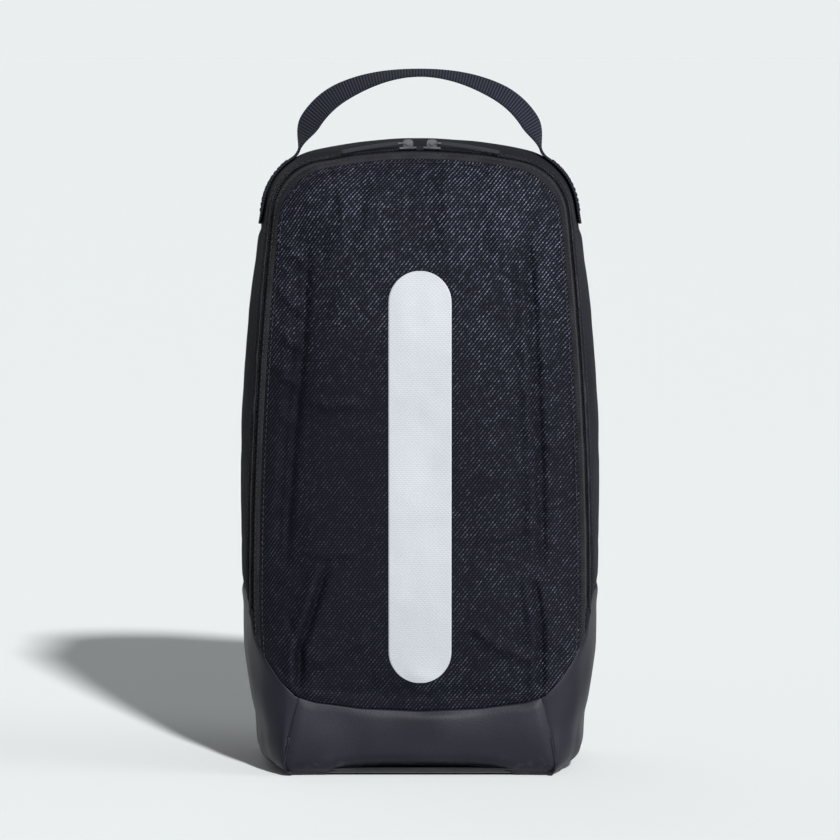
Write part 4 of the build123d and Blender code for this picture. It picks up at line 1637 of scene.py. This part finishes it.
@dataclass
class Zip:
    """The chain: two tapes and two rows of coil that mesh, closed below by end patches."""

    maker: Maker
    form: Form
    chain_y: float = -42.0
    fold_z: float = 96.3
    pitch: float = 1.5
    rise: float = 0.4
    loop: tuple[tuple[float, float], ...] = (
        (2.3, -0.9), (1.2, -0.95), (-0.10, -0.80), (-0.55, -0.35), (-0.55, 0.05), (-0.10, 0.45),
        (1.2, 0.58), (2.3, 0.5),
    )
    wire: float = 0.36
    wire_ring: tuple[tuple[float, float], ...] = (
        (1, 0), (0.7, 0.7), (0, 1), (-0.7, 0.7), (-1, 0), (-0.7, -0.7), (0, -1), (0.7, -0.7),
    )
    bag_tape_y: float = -35.0
    flap_tape_y: float = -49.0
    tape_gap: float = 1.2
    end_top_z: float = 97.5
    end_reach: tuple[float, float] = (-34.8, -48.6)

    def line(self, count: int) -> tuple[Array, Array]:
        """The chain's line, from left to right.

        Args:
            count: How many points it has, about.

        Returns:
            The points and their outward unit vectors.
        """
        half = cut_at(self.form.half_outline(self.form.place_of(self.chain_y)), self.fold_z)
        points = mirrored(spread(half, count // 2 + 1))
        run = np.gradient(points, axis=0)
        run /= np.linalg.norm(run, axis=1, keepdims=True)
        out = np.stack([-run[:, 2], 0 * run[:, 0], run[:, 0]], 1)
        return points, out

    def teeth(self, side: int) -> bpy.types.Object:
        """One row of coil, with a round-nosed loop of wire for each tooth.

        Args:
            side: 1 for the bag's row, -1 for the flap's.

        Returns:
            The new object.
        """
        dense, outward = self.line(4000)
        steps = lengths_along(dense)
        count = int(steps[-1] / self.pitch)
        shift = 0.0 if side > 0 else 0.5
        loop = np.array(self.loop)
        points, faces = [], []
        for k in range(count):
            place = (k + 0.25 + shift) * self.pitch
            if place > steps[-1]:
                break
            centre, up = at(place, steps, dense), at(place, steps, outward)
            run = np.array([up[2], 0.0, -up[0]])
            base = len(points)
            for i, (across, rise) in enumerate(loop):
                lean = (i / (len(loop) - 1) - 0.5) * 0.30
                middle = centre + up * (rise + self.rise - 0.1) + run * lean
                middle[1] += side * across
                before, after = loop[max(i - 1, 0)], loop[min(i + 1, len(loop) - 1)]
                tangent = (after - before) / np.linalg.norm(after - before)
                normal = np.array([-tangent[1], tangent[0]])
                for a, b in self.wire_ring:
                    point = middle + run * self.wire * a + up * self.wire * b * normal[1]
                    point[1] += side * self.wire * b * normal[0]
                    points.append(point)
            faces += tube_faces(base, len(loop), len(self.wire_ring), turned=True)
        made = np.array(points)
        name = "body" if side > 0 else "flap"
        obj = self.maker.piece(f"zip_teeth_{name}", made, faces, made * 1.0, Slot.COIL)
        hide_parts(f"zip_coil_{name}")
        return obj

    def tape(self, side: int) -> bpy.types.Object:
        """One tape, from under its row of coil to under the cloth beside it.

        Args:
            side: 1 for the bag's tape, -1 for the flap's.

        Returns:
            The new object.
        """
        reach = (self.chain_y + self.tape_gap, self.bag_tape_y) if side > 0 \
            else (self.flap_tape_y, self.chain_y - self.tape_gap)
        places = np.linspace(self.form.place_of(reach[1]), self.form.place_of(reach[0]), 8)
        low = self.fold_z - 10 * (side > 0)
        grid = np.array([self.form.edge(place, low, 320) for place in places])
        grid = grid - normals(grid) * (0.55 - wander(grid, 12.0, 0.25, 81.0))[..., None]
        name = "body" if side > 0 else "flap"
        obj = self.maker.sheet(f"zip_tape_{name}_cloth", grid, Slot.TAPE, 0.5, None, 0)
        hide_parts(f"zip_tape_{name}")
        return obj

    def ends(self, sign: int) -> bpy.types.Object:
        """The patch that closes the lower end of the zip on one side.

        Args:
            sign: 1 for the right side, -1 for the left one.

        Returns:
            The new object.
        """
        places = np.linspace(*(self.form.place_of(y) for y in self.end_reach), 14)
        rows = []
        for place in places:
            low = under_cut(self.form.half_outline(place), self.end_top_z)
            rows.append(spread(cut_at(low, BootLine().height), 26))
        grid = np.array(rows)
        column, row = edge_distance(grid)
        rim = np.clip(np.minimum(column, row) / 2.5, 0, 1)
        grid = grid + normals(grid) * (1.3 * rim - 0.2)[..., None]
        grid = grid[:, ::-1] * [-1.0, 1.0, 1.0] if sign < 0 else grid
        side = "right" if sign > 0 else "left"
        obj = self.maker.sheet(f"zip_end_patch_{side}", grid, Slot.GUSSET, 1.0)
        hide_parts(f"zip_end_{side}")
        return obj

    def build(self) -> None:
        """Builds the chain: one half on the bag, the other on the flap."""
        ride_all([self.teeth(1), self.tape(1), self.ends(1), self.ends(-1)], Body.BAG)
        ride_all([self.teeth(-1), self.tape(-1)], Body.FLAP)


# ---------------------------------------------------------------- handle


@dataclass
class Handle:
    """Ribbed webbing that stands over the top in a loop and is sewn down over both shoulders."""

    maker: Maker
    form: Form
    half_width: float = 12.5
    half_thickness: float = 0.85
    half_span: float = 73.15
    top_z: float = 414.3
    crown: float = 100.0
    flank: float = 50.0
    pivot_z: float = 381.0
    lift_z: float = 367.5
    end_z: float = 324.5
    roll_left: float = 30.0
    roll_right: float = 26.0
    roll_top: float = 8.0
    box_low: float = 331.0
    box_high: float = 362.0
    box_half: float = 9.5

    def route(self) -> Array:
        """Centre points of the right half, from the crown to the sewn end."""
        crown_z = self.top_z - self.crown
        flank_x = self.half_span - self.flank
        flank_z = crown_z + math.sqrt((self.crown - self.flank) ** 2 - flank_x**2)
        start = math.atan2(flank_z - crown_z, flank_x)
        end = math.asin((self.lift_z - flank_z) / self.flank)
        crown = np.linspace(math.pi / 2, start, 60)
        turn = np.linspace(start, end, 40)[1:]
        points = [np.stack([self.crown * np.cos(crown), crown_z + self.crown * np.sin(crown)], 1),
                  np.stack([flank_x + self.flank * np.cos(turn),
                            flank_z + self.flank * np.sin(turn)], 1)]
        half = self.form.half_outline(self.form.place_of(0.0))
        skin = half[half[:, 0] > points[1][-1, 0] + 1.5][:, [0, 2]]
        skin = cut_at(np.insert(skin, 1, 0.0, 1), self.end_z)[:, [0, 2]]
        out = np.gradient(skin, axis=0)
        out = np.stack([-out[:, 1], out[:, 0]], 1)
        out /= np.linalg.norm(out, axis=1, keepdims=True)
        points.append(skin + out * (self.half_thickness - 0.1))
        route = spread(np.concatenate(points), 400)
        window = np.hanning(23) / np.hanning(23).sum()
        eased = np.stack([np.convolve(route[:, i], window, "same") for i in (0, 1)], 1)
        near = smooth(np.abs(route[:, 1] - self.lift_z), 12.0, 5.0)[:, None]
        return spread(route * (1 - near) + eased * near, 170)

    def twist(self, line: Array) -> Array:
        """How far the webbing is rolled to show its face.

        Args:
            line: The webbing's centre points.

        Returns:
            One angle for each point, in radians.
        """
        free = smooth(line[:, 2], self.lift_z - 1.0, self.lift_z + 18.0)
        side = np.where(line[:, 0] > 0, self.roll_right, self.roll_left)
        share = smooth(np.abs(line[:, 0]), 0.0, 66.0)
        return np.radians(self.roll_top + (side - self.roll_top) * share) * free

    def build(self) -> None:
        """Builds the webbing and the stitching of its ends."""
        right = self.route()
        flat = np.concatenate([right[::-1][:-1] * [-1, 1], right])
        flat = spread(flat, 560)
        line = np.stack([flat[:, 0], 0 * flat[:, 0], flat[:, 1]], 1)
        run = np.gradient(line, axis=0)
        run /= np.linalg.norm(run, axis=1, keepdims=True)
        out = np.stack([-run[:, 2], 0 * run[:, 0], run[:, 0]], 1)
        twist = self.twist(line)
        back = np.array([0.0, 1.0, 0.0])
        across = back * np.cos(twist)[:, None] + out * np.sin(twist)[:, None]
        outward = out * np.cos(twist)[:, None] - back * np.sin(twist)[:, None]
        w, t = self.half_width, self.half_thickness
        share = np.linspace(-1, 1, 13)
        top = np.stack([share * (w - 0.5), t * (1 - 0.12 * share**6)], 1)
        profile = np.concatenate([top, [[w, 0.35 * t], [w, -0.35 * t]], top[::-1] * [1, -1],
                                  [[-w, -0.35 * t], [-w, 0.35 * t]]])
        obj = self.maker.sweep("carry_handle", line, np.stack([across, outward], 1), profile,
                               Slot.WEBBING)
        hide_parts("handle_webbing", "handle_end_right", "handle_end_left")
        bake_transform(obj)
        ride_all(self.sewing(line, out), Body.BAG)

    def sewing(self, line: Array, out: Array) -> list[bpy.types.Object]:
        """A box of stitches with a cross in it on each sewn end.

        Args:
            line: The webbing's centre points.
            out: Their outward unit vectors.

        Returns:
            The rows of stitches.
        """
        made = []
        for sign, side in ((1, "right"), (-1, "left")):
            z = line[:, 2]
            on_end = (line[:, 0] * sign > 0) & (z < self.box_high) & (z > self.box_low)
            ups = out[on_end]
            points = line[on_end] + ups * (self.half_thickness + 0.1)
            low, high, cross = points.copy(), points.copy(), points.copy()
            low[:, 1], high[:, 1] = -self.box_half, self.box_half
            cross[:, 1] = np.linspace(-self.box_half, self.box_half, len(cross))
            other = cross * [1, -1, 1]
            for i, row in enumerate((low, high, cross, other)):
                made.append(self.maker.stitches(f"handle_stitches_{side}_{i}", row, ups,
                                                Slot.WEBBING, 2.6, 0.8, 0.3))
        return made


# ---------------------------------------------------------------- what the frame gives as it is


@dataclass
class Fittings:
    """CAD nodes that keep their own shape: metal, moulded tabs, board, bindings and linings."""

    wardrobe: Wardrobe
    nodes: dict[str, bpy.types.Object]
    slots: dict[str, Slot]
    rounding: float = 0.22

    def dress(self) -> None:
        """Gives every node its finish, and softens the edges of the hard ones."""
        for name, obj in self.nodes.items():
            slot = self.slots[name]
            obj.data.materials.clear()
            obj.data.materials.append(self.wardrobe.made[slot])
            if slot in (Slot.METAL, Slot.PULL):
                edge = obj.modifiers.new("rounding", "BEVEL")
                edge.width = self.rounding * MM
                edge.segments = 3
                edge.limit_method = "ANGLE"
                edge.harden_normals = False
            LOG.info("dressed %s as %s", name, slot.value)


# ---------------------------------------------------------------- room, light and camera


@dataclass
class Studio:
    """A pale floor, soft light and a long lens."""

    field_width: float = 503.7
    distance: float = 3200.0
    elevation: float = 4.0
    centre_z: float = 206.5
    floor_colour: RGB = (0.797, 0.829, 0.836)
    sky: float = 0.17
    backdrop: RGB = (0.823, 0.856, 0.863)

    def floor(self) -> None:
        """A wide flat floor; the world gives the backdrop behind it."""
        made = new_graph("studio_floor")
        shade = made.cloud(900.0)
        low = tuple(0.995 * c for c in self.floor_colour)
        made.finish(made.mix(shade, low, self.floor_colour), 0.9, None, 0.0,
                    {"Specular IOR Level": 0.1})
        size = 400.0
        mesh = bpy.data.meshes.new("floor")
        mesh.from_pydata([(-size, -size, 0), (size, -size, 0), (size, size, 0), (-size, size, 0)],
                         [], [(0, 1, 2, 3)])
        mesh.materials.append(made.material)
        obj = bpy.data.objects.new("floor", mesh)
        bpy.context.scene.collection.objects.link(obj)

    def world(self) -> None:
        """Even pale light from all round, with a backdrop of the floor's own brightness."""
        world = bpy.data.worlds.new("studio")
        world.use_nodes = True
        tree = world.node_tree
        light = tree.nodes["Background"]
        light.inputs["Color"].default_value = (0.97, 0.985, 1.0, 1.0)
        light.inputs["Strength"].default_value = self.sky
        drop = tree.nodes.new("ShaderNodeBackground")
        drop.inputs["Color"].default_value = (*self.backdrop, 1.0)
        ray = tree.nodes.new("ShaderNodeLightPath")
        mix = tree.nodes.new("ShaderNodeMixShader")
        tree.links.new(ray.outputs["Is Camera Ray"], mix.inputs[0])
        tree.links.new(light.outputs[0], mix.inputs[1])
        tree.links.new(drop.outputs[0], mix.inputs[2])
        tree.links.new(mix.outputs[0], tree.nodes["World Output"].inputs[0])
        bpy.context.scene.world = world

    def sun(self, name: str, way: RGB, strength: float, angle: float) -> None:
        """A distant lamp.

        Args:
            name: The lamp's name.
            way: The way its light travels.
            strength: Its strength.
            angle: Its width in degrees, which softens its shadow.
        """
        data = bpy.data.lights.new(name, "SUN")
        data.energy = strength
        data.angle = math.radians(angle)
        lamp = bpy.data.objects.new(name, data)
        lamp.rotation_euler = Vector(way).to_track_quat("-Z", "Y").to_euler()
        bpy.context.scene.collection.objects.link(lamp)

    def camera(self) -> None:
        """The camera, level with the bag and a little above it."""
        data = bpy.data.cameras.new("camera")
        data.sensor_width = 36.0
        data.lens = data.sensor_width * self.distance / self.field_width
        data.clip_end = 200.0
        camera = bpy.data.objects.new("camera", data)
        angle = math.radians(self.elevation)
        away = Vector((0, -math.cos(angle), math.sin(angle)))
        camera.location = Vector((0, 0, self.centre_z * MM)) + away * self.distance * MM
        camera.rotation_euler = (-away).to_track_quat("-Z", "Y").to_euler()
        bpy.context.scene.collection.objects.link(camera)
        bpy.context.scene.camera = camera

    def build(self) -> None:
        """Sets the studio up."""
        self.floor()
        self.world()
        self.sun("key", (-0.256, 0.831, -0.495), 4.85, 3.5)
        self.sun("side", (-0.93, 0.33, -0.12), 1.8, 40.0)
        self.sun("rear", (0.30, -0.80, -0.60), 0.25, 50.0)
        self.camera()
        bpy.context.scene.view_settings.view_transform = "Standard"


def main() -> None:
    """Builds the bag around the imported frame, piece by piece."""
    logging.basicConfig(level=logging.INFO, format="%(name)s: %(message)s")
    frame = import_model()
    wardrobe = Wardrobe()
    wardrobe.fill()
    maker, form, boot_line = Maker(wardrobe), Form(), BootLine()
    slots = {row["node"]: Slot(row["material_slot"]) for row in frame["record"]["subparts"]}
    Fittings(wardrobe, frame["nodes"], slots).dress()
    Front(maker, form, boot_line).build()
    Shell(maker, form, boot_line).build()
    Boot(maker, form, boot_line).build()
    Zip(maker, form).build()
    Handle(maker, form).build()
    Studio().build()


if __name__ == "__main__":
    main()
